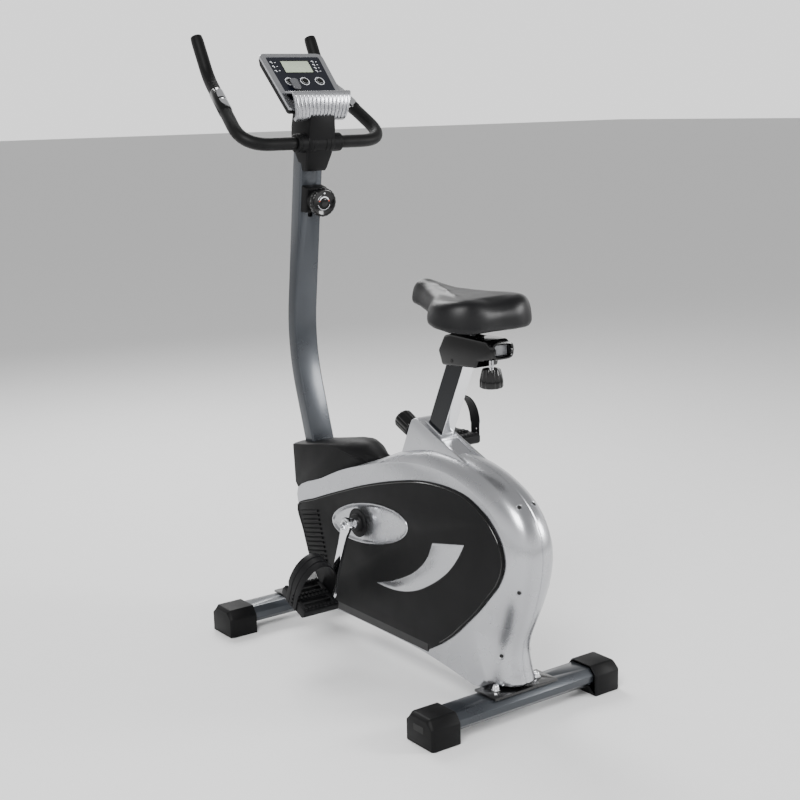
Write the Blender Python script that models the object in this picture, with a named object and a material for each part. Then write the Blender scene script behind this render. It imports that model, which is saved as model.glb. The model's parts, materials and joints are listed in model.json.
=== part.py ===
"""Upright magnetic exercise bike, built as an assembly of separate parts.

Units are metres, +Z is up, +Y is the way the rider faces and +X is the rider's right.
Every shape is written in bike coordinates, whose zero is on the floor straight below the
crank axle. One empty then moves the whole bike so that its box is centred on the origin.
"""
import math

import bmesh
import bpy
from mathutils import Matrix, Vector

# ---------------------------------------------------------------- driving dimensions
BIKE_SHIFT_Y = 0.0146           # places the middle of the bike's length on the origin
GAP = 0.0003                    # clearance between two touching pieces

# feet
FOOT_SPAN = 0.500               # overall width of the front and rear stabilisers
FOOT_CAP_LENGTH = 0.070
FOOT_CAP_DEPTH = 0.090
REAR_FOOT_Y = -0.449
FRONT_FOOT_Y = 0.334

# drive
CRANK_Y = 0.017
CRANK_Z = 0.312
CRANK_LENGTH = 0.175
CRANK_ANGLE = math.radians(16.5)    # left crank, forward of straight down
CRANK_INNER_X = 0.089
CRANK_OUTER_X = 0.101
CRANK_FLARE = 0.0135           # how far an arm leans out by the time it reaches its pedal
CRANK_DISC_R = 0.033
AXLE_R = 0.0085
PEDAL_AXLE_R = 0.0070
PULLEY_R = 0.110
PULLEY_X = (0.028, 0.042)
FLYWHEEL_Y = -0.315
FLYWHEEL_Z = 0.268
FLYWHEEL_R = 0.125
SMALL_PULLEY_R = 0.021
IDLER_R = 0.015
BELT_THICKNESS = 0.003

# housing
FACE_X = 0.0545                 # flat side of a silver cover
SHELL_WALL = 0.0026
PANEL_THICKNESS = 0.0055

# seat tube and post, measured along the post (up) and across it (towards the front)
POST_LEAN = math.radians(25.5)
POST_WIDTH = 0.030
POST_DEPTH = 0.050
POST_BASE = (-0.2308, 0.600)    # a point on the post's middle line
BOSS_TOP = -0.045               # distance along the post of the collar's top

# mast and handlebar
MAST_WIDTH = 0.060
MAST_DEPTH = 0.038
MAST_LOWER_LEAN = math.radians(17.0)
MAST_UPPER_LEAN = math.radians(-7.8)
MAST_BOTTOM = (0.2570, 0.425)   # middle of the tube's lower end
MAST_BEND_START_Z = 0.575
MAST_BEND_R = 0.470
MAST_TOP_Z = 1.192
BAR_Y = 0.2313
BAR_Z = 1.1466
BAR_R = 0.0125
BAR_WALL = 0.0020
GRIP_R = 0.0147

# console, measured on its face
CONSOLE_TILT = math.radians(46.0)   # slope of the face above the horizontal
CONSOLE_MID = (0.2745, 1.2850)      # middle of the face
CONSOLE_HALF_HEIGHT = 0.0865
CONSOLE_DEPTH = 0.026

MATERIALS = {
    "silver_paint": ((0.62, 0.62, 0.64), 0.32, 0.6),
    "black_plastic": ((0.025, 0.025, 0.028), 0.45, 0.0),
    "gloss_black": ((0.012, 0.012, 0.014), 0.15, 0.0),
    "grey_paint": ((0.12, 0.13, 0.145), 0.35, 0.5),
    "chrome": ((0.80, 0.80, 0.82), 0.12, 1.0),
    "steel": ((0.45, 0.45, 0.46), 0.35, 1.0),
    "cast_iron": ((0.16, 0.16, 0.17), 0.55, 0.8),
    "foam": ((0.02, 0.02, 0.02), 0.85, 0.0),
    "vinyl": ((0.03, 0.03, 0.032), 0.5, 0.0),
    "rubber": ((0.02, 0.02, 0.02), 0.8, 0.0),
    "screen": ((0.42, 0.48, 0.42), 0.25, 0.0),
    "black_enamel": ((0.03, 0.03, 0.03), 0.4, 0.2),
    "grey_plastic": ((0.22, 0.22, 0.23), 0.5, 0.0),
}


# ---------------------------------------------------------------- general helpers
def clear_scene():
    for obj in list(bpy.data.objects):
        bpy.data.objects.remove(obj, do_unlink=True)


def get_material(name):
    material = bpy.data.materials.get(name)
    if material is None:
        colour, roughness, metallic = MATERIALS[name]
        material = bpy.data.materials.new(name)
        material.use_nodes = True
        shader = material.node_tree.nodes["Principled BSDF"]
        shader.inputs["Base Color"].default_value = (*colour, 1.0)
        shader.inputs["Roughness"].default_value = roughness
        shader.inputs["Metallic"].default_value = metallic
        material.diffuse_color = (*colour, 1.0)
    return material


def add_part(name, bm, material, origin=(0.0, 0.0, 0.0)):
    """Make an object from a mesh in bike coordinates, with its origin at a chosen point."""
    origin = Vector(origin)
    bmesh.ops.remove_doubles(bm, verts=bm.verts, dist=0.00001)
    bmesh.ops.recalc_face_normals(bm, faces=bm.faces)
    bmesh.ops.translate(bm, verts=bm.verts, vec=-origin)
    mesh = bpy.data.meshes.new(name)
    bm.to_mesh(mesh)
    bm.free()
    mesh.shade_smooth()
    mesh.set_sharp_from_angle(angle=math.radians(35.0))
    obj = bpy.data.objects.new(name, mesh)
    bpy.context.scene.collection.objects.link(obj)
    obj.parent = bpy.data.objects["bike"]
    obj.location = origin
    if material is not None:
        mesh.materials.append(get_material(material))
    return obj


def change(obj, operation, *shapes):
    """Cut shapes from a part (DIFFERENCE) or weld them to it (UNION)."""
    for number, bm in enumerate(shapes):
        tool = add_part(f"{obj.name}_tool_{len(obj.modifiers)}_{number}", bm, None)
        tool.hide_render = True
        tool.display_type = "WIRE"
        modifier = obj.modifiers.new(f"{operation.lower()} {number}", "BOOLEAN")
        modifier.operation = operation
        modifier.solver = "EXACT"
        modifier.object = tool
    return obj


def skin(rings, loop=False):
    """Join rings of equal point counts; the ends are capped, or meet when loop is set."""
    bm = bmesh.new()
    rows = [[bm.verts.new(point) for point in ring] for ring in rings]
    pairs = list(zip(rows[:-1], rows[1:]))
    if loop:
        pairs.append((rows[-1], rows[0]))
    for low, high in pairs:
        for i in range(len(low)):
            j = (i + 1) % len(low)
            bm.faces.new((low[i], low[j], high[j], high[i]))
    if not loop:
        bm.faces.new(rows[0][::-1])
        bm.faces.new(rows[-1])
    return bm


def prism(profile, low_x, high_x):
    """Extrude a side-view outline of (y, z) points along X."""
    return skin([[(x, y, z) for y, z in profile] for x in (low_x, high_x)])


def box(low, high):
    profile = [(low[1], low[2]), (high[1], low[2]), (high[1], high[2]), (low[1], high[2])]
    return prism(profile, low[0], high[0])


def circle(centre, normal, radius, sides, flat_up=Vector((0, 0, 1))):
    """Points of a circle around a normal, starting at the side nearest flat_up."""
    normal = Vector(normal).normalized()
    first = flat_up - normal * flat_up.dot(normal)
    if first.length < 0.01:
        first = Vector((0, 1, 0)) - normal * normal.y
    first.normalize()
    second = normal.cross(first)
    steps = [2.0 * math.pi * i / sides for i in range(sides)]
    return [Vector(centre) + radius * (first * math.cos(a) + second * math.sin(a)) for a in steps]


def turned(profile, start, normal, sides=24, loop=False):
    """Turn (distance, radius) points about a line from start along normal."""
    start = Vector(start)
    normal = Vector(normal).normalized()
    rings = [circle(start + normal * s, normal, r, sides) for s, r in profile]
    return skin(rings, loop)


def cylinder_x(y, z, radius, low_x, high_x, sides=24):
    return turned([(0.0, radius), (high_x - low_x, radius)], (low_x, y, z), (1, 0, 0), sides)


def ring_x(y, z, inner, outer, low_x, high_x, sides=24):
    width = high_x - low_x
    profile = [(0.0, inner), (0.0, outer), (width, outer), (width, inner)]
    return turned(profile, (low_x, y, z), (1, 0, 0), sides, loop=True)


def tube_along(points, radius, sides=12):
    """A round bar along a smooth path."""
    points = [Vector(p) for p in points]
    rings = []
    side = None
    for i, point in enumerate(points):
        ahead = points[min(i + 1, len(points) - 1)]
        behind = points[max(i - 1, 0)]
        normal = (ahead - behind).normalized()
        if side is None:
            side = normal.orthogonal().normalized()
        side = (side - normal * side.dot(normal)).normalized()
        other = normal.cross(side)
        steps = [2.0 * math.pi * k / sides for k in range(sides)]
        rings.append([point + radius * (side * math.cos(a) + other * math.sin(a)) for a in steps])
    return rings


def rounded_path(corners, cuts, steps=4):
    """A path of straight runs whose corners are replaced by curves of the given cut lengths."""
    corners = [Vector(c) for c in corners]
    path = [corners[0]]
    for i, cut in enumerate(cuts, start=1):
        before = corners[i] + (corners[i - 1] - corners[i]).normalized() * cut
        after = corners[i] + (corners[i + 1] - corners[i]).normalized() * cut
        for k in range(steps + 1):
            t = k / steps
            point = before * (1 - t) ** 2 + corners[i] * (2 * t * (1 - t)) + after * t ** 2
            path.append(point)
    path.append(corners[-1])
    return path


def smooth_outline(points, steps):
    """A closed Catmull-Rom curve through (y, z) points."""
    result = []
    count = len(points)
    for i in range(count):
        p0, p1, p2, p3 = (Vector(points[(i + k) % count]) for k in (-1, 0, 1, 2))
        for k in range(steps):
            t = k / steps
            a = p1 * 2.0
            b = (p2 - p0) * t
            c = (p0 * 2.0 - p1 * 5.0 + p2 * 4.0 - p3) * t * t
            d = (p1 * 3.0 - p0 - p2 * 3.0 + p3) * t ** 3
            result.append((a + b + c + d) * 0.5)
    return result


def inset_outline(points, distance):
    """Move a counter-clockwise or clockwise outline inwards by a distance."""
    count = len(points)
    area = sum(points[i].x * points[(i + 1) % count].y - points[(i + 1) % count].x * points[i].y
               for i in range(count))
    turn = 1.0 if area > 0 else -1.0
    moved = []
    for i in range(count):
        along = (points[(i + 1) % count] - points[i - 1]).normalized()
        moved.append(points[i] + Vector((-along.y, along.x)) * (distance * turn))
    return moved


def post_point(along, across=0.0):
    """(y, z) of a point measured along the seat post's middle line and across it."""
    y = POST_BASE[0] - along * math.sin(POST_LEAN) + across * math.cos(POST_LEAN)
    z = POST_BASE[1] + along * math.cos(POST_LEAN) + across * math.sin(POST_LEAN)
    return (y, z)


def post_box(along, across, half_width):
    """A box in line with the seat post: (low, high) along it and across it."""
    corners = [(along[0], across[0]), (along[1], across[0]), (along[1], across[1]), (along[0], across[1])]
    return prism([post_point(a, c) for a, c in corners], -half_width, half_width)


def mast_stations():
    """(y, z, lean) of the mast's middle line, from its lower end to its top."""
    y, z = MAST_BOTTOM
    stations = [(y, z, MAST_LOWER_LEAN)]
    y += (MAST_BEND_START_Z - z) * math.tan(MAST_LOWER_LEAN)
    z = MAST_BEND_START_Z
    steps = 10
    for i in range(steps + 1):
        lean = MAST_LOWER_LEAN + (MAST_UPPER_LEAN - MAST_LOWER_LEAN) * i / steps
        arc_y = y + MAST_BEND_R * (math.cos(lean) - math.cos(MAST_LOWER_LEAN))
        arc_z = z + MAST_BEND_R * (math.sin(MAST_LOWER_LEAN) - math.sin(lean))
        stations.append((arc_y, arc_z, lean))
    last_y, last_z, _ = stations[-1]
    top_y = last_y + (MAST_TOP_Z - last_z) * math.tan(MAST_UPPER_LEAN)
    stations.append((top_y, MAST_TOP_Z, MAST_UPPER_LEAN))
    return stations


def upper_mast_point(z, back=0.0):
    """(y, z) on the straight upper mast, a distance behind its middle line."""
    top_y, top_z, lean = mast_stations()[-1]
    y = top_y + (z - top_z) * math.tan(lean)
    return (y - back * math.cos(lean), z + back * math.sin(lean))


def mast_rear_y(z, gap=0.0):
    """Y of the straight upper mast's rear face at a height, less a gap."""
    top_y, top_z, lean = mast_stations()[-1]
    return top_y + (z - top_z) * math.tan(lean) - (MAST_DEPTH / 2.0 + gap) / math.cos(lean)


def rectangle_rings(stations, width, depth, corner=0.004):
    """Cross-sections of a rectangular tube with small bevelled corners, along a leaning line."""
    rings = []
    half_w = width / 2.0
    half_d = depth / 2.0
    outline = [(half_w, half_d - corner), (half_w - corner, half_d), (corner - half_w, half_d),
               (-half_w, half_d - corner), (-half_w, corner - half_d), (corner - half_w, -half_d),
               (half_w - corner, -half_d), (half_w, corner - half_d)]
    for y, z, lean in stations:
        across = Vector((0.0, math.cos(lean), -math.sin(lean)))
        rings.append([Vector((x, y, z)) + across * d for x, d in outline])
    return rings


def hollow_bar(stations, width, depth, wall, corner=0.004):
    outer = rectangle_rings(stations, width, depth, corner)
    inner = rectangle_rings(stations, width - 2 * wall, depth - 2 * wall, corner * 0.5)
    return skin(outer + inner[::-1], loop=True)


def solid_bar(stations, width, depth, corner=0.0025):
    return skin(rectangle_rings(stations, width, depth, corner))


def console_point(up, out=0.0):
    """(y, z) on the console's face: up the slope from its middle, and out of it."""
    y = CONSOLE_MID[0] + up * math.cos(CONSOLE_TILT) - out * math.sin(CONSOLE_TILT)
    z = CONSOLE_MID[1] + up * math.sin(CONSOLE_TILT) + out * math.cos(CONSOLE_TILT)
    return (y, z)


def console_normal():
    return Vector((0.0, -math.sin(CONSOLE_TILT), math.cos(CONSOLE_TILT)))


def console_block(up, out, low_x, high_x):
    corners = [(up[0], out[0]), (up[1], out[0]), (up[1], out[1]), (up[0], out[1])]
    return prism([console_point(u, o) for u, o in corners], low_x, high_x)


# ---------------------------------------------------------------- feet
TUBE_LOW = 0.020
TUBE_HIGH = 0.058
TUBE_HALF_DEPTH = 0.037
TUBE_WALL = 0.0022
BOLT_X = 0.054
BOLT_R = 0.0038


def foot_section(y, shrink, low, high):
    """Side view of a stabiliser tube: a flattened octagon."""
    half = TUBE_HALF_DEPTH - shrink
    low += shrink
    high -= shrink
    cut = 0.012
    return [(y - half + cut, low), (y + half - cut, low), (y + half, low + cut), (y + half, high - cut),
            (y + half - cut, high), (y - half + cut, high), (y - half, high - cut), (y - half, low + cut)]


def stabiliser(name, y):
    end = FOOT_SPAN / 2.0 - 0.036
    outer = [[(x, py, pz) for py, pz in foot_section(y, 0.0, TUBE_LOW, TUBE_HIGH)] for x in (-end, end)]
    inner = [[(x, py, pz) for py, pz in foot_section(y, TUBE_WALL, TUBE_LOW, TUBE_HIGH)]
             for x in (end, -end)]
    tube = add_part(name, skin(outer + inner, loop=True), "grey_paint")
    for x in (-BOLT_X, BOLT_X):
        change(tube, "DIFFERENCE", turned([(0, BOLT_R + GAP), (0.06, BOLT_R + GAP)],
                                          (x, y, 0.010), (0, 0, 1), 12))


def foot_cap(name, y, side):
    """A moulded cap over a stabiliser's end, standing on the floor."""
    half = FOOT_CAP_DEPTH / 2.0
    outer_x = FOOT_SPAN / 2.0
    inner_x = outer_x - FOOT_CAP_LENGTH

    def section(x, top, shrink):
        depth = half - shrink
        return [(side * x, y - depth, 0.0), (side * x, y + depth, 0.0), (side * x, y + depth, 0.044),
                (side * x, y + depth - 0.016, top), (side * x, y - depth + 0.016, top),
                (side * x, y - depth, 0.044)]

    cap = add_part(name, skin([section(inner_x, 0.064, 0.0), section(outer_x - 0.008, 0.064, 0.0),
                               section(outer_x, 0.058, 0.004)]), "black_plastic")
    pocket_end = outer_x - 0.036 + GAP
    profile = foot_section(y, -GAP, TUBE_LOW, TUBE_HIGH)
    low, high = sorted((side * (inner_x - 0.01), side * pocket_end))
    change(cap, "DIFFERENCE", prism(profile, low, high))
    return cap


WHEEL_Y = FRONT_FOOT_Y + 0.033
WHEEL_Z = 0.022
WHEEL_R = 0.019


def transport_wheel(name, side):
    """A roller in the front cap's leading edge, clear of the floor until the bike is tipped."""
    low, high = sorted((side * 0.2200, side * 0.2380))
    wheel = ring_x(WHEEL_Y, WHEEL_Z, 0.0043, WHEEL_R, low, high, 20)
    return add_part(name, wheel, "grey_plastic", (0.0, WHEEL_Y, WHEEL_Z))


def wheel_pocket(cap, side):
    """A pocket for the roller, with a pin left standing across it."""
    low, high = sorted((side * 0.2190, side * 0.2390))
    pocket = box((low, WHEEL_Y - 0.0205, -0.01), (high, WHEEL_Y + 0.03, WHEEL_Z + 0.0205))
    change(cap, "DIFFERENCE", pocket)
    pin = cylinder_x(WHEEL_Y, WHEEL_Z, 0.0040, low - 0.001, high + 0.001, 12)
    change(cap, "UNION", pin)


def clamp_bolts(name, y):
    """Two dome-nut bolts on one strap, clamping a stabiliser to the frame's plate."""
    strap = box((-BOLT_X - 0.010, y - 0.009, TUBE_LOW - 0.0033),
                (BOLT_X + 0.010, y + 0.009, TUBE_LOW - GAP))
    bolts = add_part(name, strap, "chrome")
    plate_top = PLATE_HIGH + GAP
    low = TUBE_LOW - 0.0025
    for x in (-BOLT_X, BOLT_X):
        profile = [(0.0, BOLT_R), (plate_top - low, BOLT_R), (plate_top - low, 0.0095),
                   (plate_top - low + 0.0016, 0.0095), (plate_top - low + 0.0016, 0.0072),
                   (plate_top - low + 0.0066, 0.0072), (plate_top - low + 0.0110, 0.0050),
                   (plate_top - low + 0.0128, 0.0015)]
        change(bolts, "UNION", turned(profile, (x, y, low), (0, 0, 1), 12))


# ---------------------------------------------------------------- frame
PLATE_LOW = 0.0586
PLATE_HIGH = 0.0636
BEAM_LOW = 0.0800
BEAM_HIGH = 0.1180
BEAM_HALF = 0.025
LEG_HALF = 0.022
STUB_WALL = 0.0025
SEAT_TUBE_HALF_DEPTH = 0.0305
SEAT_TUBE_HALF_WIDTH = 0.0205
SEAT_TUBE_WALL = 0.0026
SEAT_TUBE_BOTTOM = -0.530
BRACKET_SHELL_R = 0.0215
BRACKET_BORE_R = 0.0175
DROPOUT_LEFT = (-0.0345, -0.0285)
DROPOUT_RIGHT = (0.0455, 0.0505)
FLYWHEEL_AXLE_R = 0.0080
MAGNET_PIVOT = (-0.4380, 0.2080)
IDLER_Y = -0.160
POP_PIN_ALONG = -0.105


def lower_mast_point(distance, across=0.0):
    """(y, z) on the lower mast's line, a distance up from its lower end."""
    y = MAST_BOTTOM[0] + distance * math.sin(MAST_LOWER_LEAN) + across * math.cos(MAST_LOWER_LEAN)
    z = MAST_BOTTOM[1] + distance * math.cos(MAST_LOWER_LEAN) - across * math.sin(MAST_LOWER_LEAN)
    return (y, z)


def belt_lower_line(y):
    """Height of the belt's outer surface on its lower run."""
    start = Vector((CRANK_Y, CRANK_Z))
    end = Vector((FLYWHEEL_Y, FLYWHEEL_Z))
    along = end - start
    reach = along.length
    lean = math.asin((PULLEY_R - SMALL_PULLEY_R) / reach)
    angle = math.atan2(along.y, along.x) + math.pi / 2.0 + lean
    normal = Vector((math.cos(angle), math.sin(angle)))
    if normal.y > 0:
        angle = math.atan2(along.y, along.x) - math.pi / 2.0 - lean
        normal = Vector((math.cos(angle), math.sin(angle)))
    radius = PULLEY_R + GAP + BELT_THICKNESS
    touch = start + normal * radius
    slope = -normal.x / normal.y
    return touch.y + slope * (y - touch.x), normal


def idler_centre():
    height, normal = belt_lower_line(IDLER_Y)
    centre = Vector((IDLER_Y, height)) + normal * (IDLER_R + GAP)
    return (centre.x, centre.y)


def frame():
    base = box((-BEAM_HALF, REAR_FOOT_Y - 0.006, BEAM_LOW), (BEAM_HALF, FRONT_FOOT_Y + 0.024, BEAM_HIGH))
    body = add_part("frame", base, "black_enamel")
    for y, back in ((REAR_FOOT_Y, 0.006), (FRONT_FOOT_Y, 0.020)):
        leg = box((-LEG_HALF, y - back, PLATE_LOW + 0.001), (LEG_HALF, y + 0.020, BEAM_LOW + 0.004))
        plate = box((-0.083, y - 0.033, PLATE_LOW), (0.083, y + 0.033, PLATE_HIGH))
        change(body, "UNION", leg, plate)
    seat_tube = post_box((SEAT_TUBE_BOTTOM, BOSS_TOP - 0.012),
                         (-SEAT_TUBE_HALF_DEPTH, SEAT_TUBE_HALF_DEPTH), SEAT_TUBE_HALF_WIDTH)
    lower_stub = solid_bar([(*lower_mast_point(-0.335), MAST_LOWER_LEAN),
                            (*lower_mast_point(-GAP), MAST_LOWER_LEAN)], MAST_WIDTH, MAST_DEPTH)
    upper_stub = solid_bar([(*lower_mast_point(-0.01), MAST_LOWER_LEAN),
                            (*lower_mast_point(0.090), MAST_LOWER_LEAN)],
                           MAST_WIDTH - 0.0058, MAST_DEPTH - 0.0058)
    bridge = box((-0.018, -0.105, CRANK_Z - 0.015), (0.018, 0.222, CRANK_Z + 0.015))
    shell = cylinder_x(CRANK_Y, CRANK_Z, BRACKET_SHELL_R, -0.034, 0.0260)
    change(body, "UNION", seat_tube, lower_stub, upper_stub, bridge, shell)
    cross = box((DROPOUT_LEFT[0], FLYWHEEL_Y - 0.022, BEAM_HIGH - 0.014),
                (DROPOUT_RIGHT[1], FLYWHEEL_Y + 0.022, BEAM_HIGH))
    left = box((DROPOUT_LEFT[0], FLYWHEEL_Y - 0.022, BEAM_HIGH - 0.010),
               (DROPOUT_LEFT[1], FLYWHEEL_Y + 0.022, FLYWHEEL_Z + 0.020))
    right = box((DROPOUT_RIGHT[0], FLYWHEEL_Y - 0.022, BEAM_HIGH - 0.010),
                (DROPOUT_RIGHT[1], FLYWHEEL_Y + 0.022, FLYWHEEL_Z + 0.020))
    lug = box((-0.0345, MAGNET_PIVOT[0] - 0.006, BEAM_HIGH - 0.030),
              (-0.0300, MAGNET_PIVOT[0] + 0.006, MAGNET_PIVOT[1] + 0.009))
    lug_base = box((-0.0345, MAGNET_PIVOT[0] - 0.006, BEAM_HIGH - 0.030),
                   (-0.020, MAGNET_PIVOT[0] + 0.006, BEAM_HIGH - 0.010))
    pivot = cylinder_x(*MAGNET_PIVOT, 0.0040, -0.032, 0.0105, 12)
    change(body, "UNION", cross, left, right, lug, lug_base, pivot)
    centre = idler_centre()
    arm = box((0.0150, centre[0] - 0.010, BEAM_HIGH - 0.020), (0.0262, centre[0] + 0.010, centre[1] + 0.008))
    stud = cylinder_x(*centre, 0.0040, 0.022, 0.0425, 12)
    change(body, "UNION", arm, stud)
    inner_beam = box((-BEAM_HALF + 0.002, REAR_FOOT_Y - 0.004, BEAM_LOW + 0.002),
                     (BEAM_HALF - 0.002, FRONT_FOOT_Y + 0.022, BEAM_HIGH - 0.002))
    bore = cylinder_x(CRANK_Y, CRANK_Z, BRACKET_BORE_R, -0.050, 0.050)
    seat_bore = post_box((SEAT_TUBE_BOTTOM + 0.070, 0.02),
                         (SEAT_TUBE_WALL - SEAT_TUBE_HALF_DEPTH, SEAT_TUBE_HALF_DEPTH - SEAT_TUBE_WALL),
                         SEAT_TUBE_HALF_WIDTH - SEAT_TUBE_WALL)
    stub_bore = solid_bar([(*lower_mast_point(-0.333), MAST_LOWER_LEAN),
                           (*lower_mast_point(0.10), MAST_LOWER_LEAN)],
                          MAST_WIDTH - 0.0058 - 2 * STUB_WALL, MAST_DEPTH - 0.0058 - 2 * STUB_WALL)
    pin_hole = turned([(0, 0.0056), (0.06, 0.0056)], (0, *post_point(POP_PIN_ALONG, 0.005)),
                      (0, math.cos(POST_LEAN), math.sin(POST_LEAN)), 12)
    cable_hole = box((-0.007, 0.200, 0.338), (0.007, 0.236, 0.372))
    change(body, "DIFFERENCE", inner_beam, bore, seat_bore, stub_bore, pin_hole, cable_hole)
    for drop in (DROPOUT_LEFT, DROPOUT_RIGHT):
        change(body, "DIFFERENCE", cylinder_x(FLYWHEEL_Y, FLYWHEEL_Z, FLYWHEEL_AXLE_R + GAP,
                                              drop[0] - 0.002, drop[1] + 0.002, 16))
    for y in (REAR_FOOT_Y, FRONT_FOOT_Y):
        for x in (-BOLT_X, BOLT_X):
            change(body, "DIFFERENCE", turned([(0, BOLT_R + GAP), (0.02, BOLT_R + GAP)],
                                              (x, y, PLATE_LOW - 0.005), (0, 0, 1), 12))


# ---------------------------------------------------------------- drive
def crank_axle():
    cartridge = turned([(0.0, AXLE_R + GAP), (0.0, 0.0200), (0.0016, 0.0200), (0.0016, BRACKET_BORE_R - GAP),
                        (0.0630, BRACKET_BORE_R - GAP), (0.0630, AXLE_R + GAP)],
                       (-0.0360, CRANK_Y, CRANK_Z), (1, 0, 0), 24, loop=True)
    add_part("bottom_bracket", cartridge, "steel")
    reach = CRANK_OUTER_X - 0.003
    axle = cylinder_x(CRANK_Y, CRANK_Z, AXLE_R, -reach, reach)
    add_part("crank_axle", axle, "steel", (0, CRANK_Y, CRANK_Z))


def pedal_centre(side):
    """(y, z) of a pedal axle; side is -1 for the left crank and 1 for the right."""
    reach = -side * CRANK_LENGTH
    return (CRANK_Y + reach * math.sin(CRANK_ANGLE), CRANK_Z - reach * math.cos(CRANK_ANGLE))


DISC_X = (0.0632, 0.0675)


def crank(name, side):
    """A forged arm that leans outwards, with a disc and hub on the axle and an eye at the pedal."""
    end = Vector(pedal_centre(side))
    hub = Vector((CRANK_Y, CRANK_Z))
    along = (end - hub).normalized()
    eye_r = 0.0145
    hub_r = 0.0170

    def half_round(centre, direction, radius):
        base = math.atan2(direction.y, direction.x) - math.pi / 2.0
        return [centre + radius * Vector((math.cos(base + math.pi * i / 8), math.sin(base + math.pi * i / 8)))
                for i in range(9)]

    outline = half_round(end, along, eye_r) + half_round(hub, -along, hub_r)
    low, high = sorted((side * CRANK_INNER_X, side * CRANK_OUTER_X))
    bar = prism([(p.x, p.y) for p in outline], low, high)
    for vert in bar.verts:
        away = Vector((vert.co.y, vert.co.z)) - hub
        vert.co.x += side * CRANK_FLARE * away.dot(along) / CRANK_LENGTH
    arm = add_part(name, bar, "chrome", (0, CRANK_Y, CRANK_Z))
    hub_low, hub_high = sorted((side * (DISC_X[1] - 0.001), side * (CRANK_OUTER_X - 0.001)))
    disc_low, disc_high = sorted((side * DISC_X[0], side * DISC_X[1]))
    change(arm, "UNION", cylinder_x(CRANK_Y, CRANK_Z, hub_r - 0.0010, hub_low, hub_high),
           cylinder_x(CRANK_Y, CRANK_Z, CRANK_DISC_R, disc_low, disc_high, 32))
    change(arm, "DIFFERENCE",
           cylinder_x(CRANK_Y, CRANK_Z, AXLE_R + GAP, disc_low - 0.05, disc_high + 0.05),
           cylinder_x(end.x, end.y, PEDAL_AXLE_R + GAP, low - 0.03, high + 0.03, 16))


PEDAL_INNER_X = 0.1200
PEDAL_OUTER_X = 0.2120
PEDAL_HALF_LENGTH = 0.048
PEDAL_HALF_HEIGHT = 0.0135
STRAP_THICKNESS = 0.0028
STRAP_HALF_WIDTH = 0.0250
STRAP_RISE = 0.103
LEFT_PEDAL_TILT = math.radians(22.0)
STRAP_OFFSET = {-1: 0.004, 1: -0.020}


def turn_about_x(bm, centre, angle):
    bmesh.ops.rotate(bm, verts=bm.verts, cent=(0, *centre), matrix=Matrix.Rotation(angle, 3, "X"))
    return bm


def pedal(side, tilt):
    """Pedal body, its spindle and its strap, on one side of the bike."""
    word = "left" if side < 0 else "right"
    y, z = pedal_centre(side)
    low, high = sorted((side * PEDAL_INNER_X, side * PEDAL_OUTER_X))
    length = PEDAL_HALF_LENGTH
    height = PEDAL_HALF_HEIGHT
    cut = 0.006
    profile = [(y - length, z - height + cut), (y - length + cut, z - height), (y + length - cut, z - height),
               (y + length, z - height + cut), (y + length, z + height - cut), (y + length - cut, z + height),
               (y - length + cut, z + height), (y - length, z + height - cut)]
    body = add_part(f"{word}_pedal", turn_about_x(prism(profile, low, high), (y, z), tilt),
                    "black_plastic", (0, y, z))
    for sign in (-1, 1):
        near, far = sorted((y + sign * 0.014, y + sign * (length - 0.013)))
        window = box((low + 0.013, near, z - 0.03), (high - 0.013, far, z + 0.03))
        change(body, "DIFFERENCE", turn_about_x(window, (y, z), tilt))
    change(body, "DIFFERENCE", cylinder_x(y, z, PEDAL_AXLE_R + GAP, low - 0.01, high + 0.01, 16))
    spindle_low, spindle_high = sorted((side * (CRANK_INNER_X + CRANK_FLARE + 0.002), side * (PEDAL_OUTER_X - 0.003)))
    add_part(f"{word}_pedal_axle", cylinder_x(y, z, PEDAL_AXLE_R, spindle_low, spindle_high, 16),
             "steel", (0, y, z))
    middle = (PEDAL_INNER_X + PEDAL_OUTER_X) / 2.0
    reach = (PEDAL_OUTER_X - PEDAL_INNER_X) / 2.0 + GAP
    path = [(-1, -0.010), (-1, 0.030)]
    path += [(math.cos(math.radians(180 - 180 * i / 10)), math.sin(math.radians(180 * i / 10)))
             for i in range(1, 10)]
    path += [(1, 0.030), (1, -0.010)]

    def strap_ring(offset, y_side):
        points = []
        for i, (px, pz) in enumerate(path):
            straight = i < 2 or i > len(path) - 3
            radius = reach + offset
            x = middle + px * radius
            rise = pz if straight else 0.030 + pz * (STRAP_RISE - 0.030 + offset)
            points.append((side * x, y + STRAP_OFFSET[side] + y_side * STRAP_HALF_WIDTH, z + rise))
        return points

    near_in, near_out = strap_ring(0.0, -1), strap_ring(STRAP_THICKNESS, -1)
    far_in, far_out = strap_ring(0.0, 1), strap_ring(STRAP_THICKNESS, 1)
    rings = [[near_in[i], near_out[i], far_out[i], far_in[i]] for i in range(len(path))]
    strap = turn_about_x(skin(rings), (y, z), tilt)
    band = add_part(f"{word}_pedal_strap", strap, "rubber", (0, y, z))
    near, far = sorted((side * (PEDAL_INNER_X - 0.010), side * (PEDAL_INNER_X + 0.010)))
    change(band, "DIFFERENCE", cylinder_x(y, z, PEDAL_AXLE_R + GAP, near, far, 16))


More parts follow.
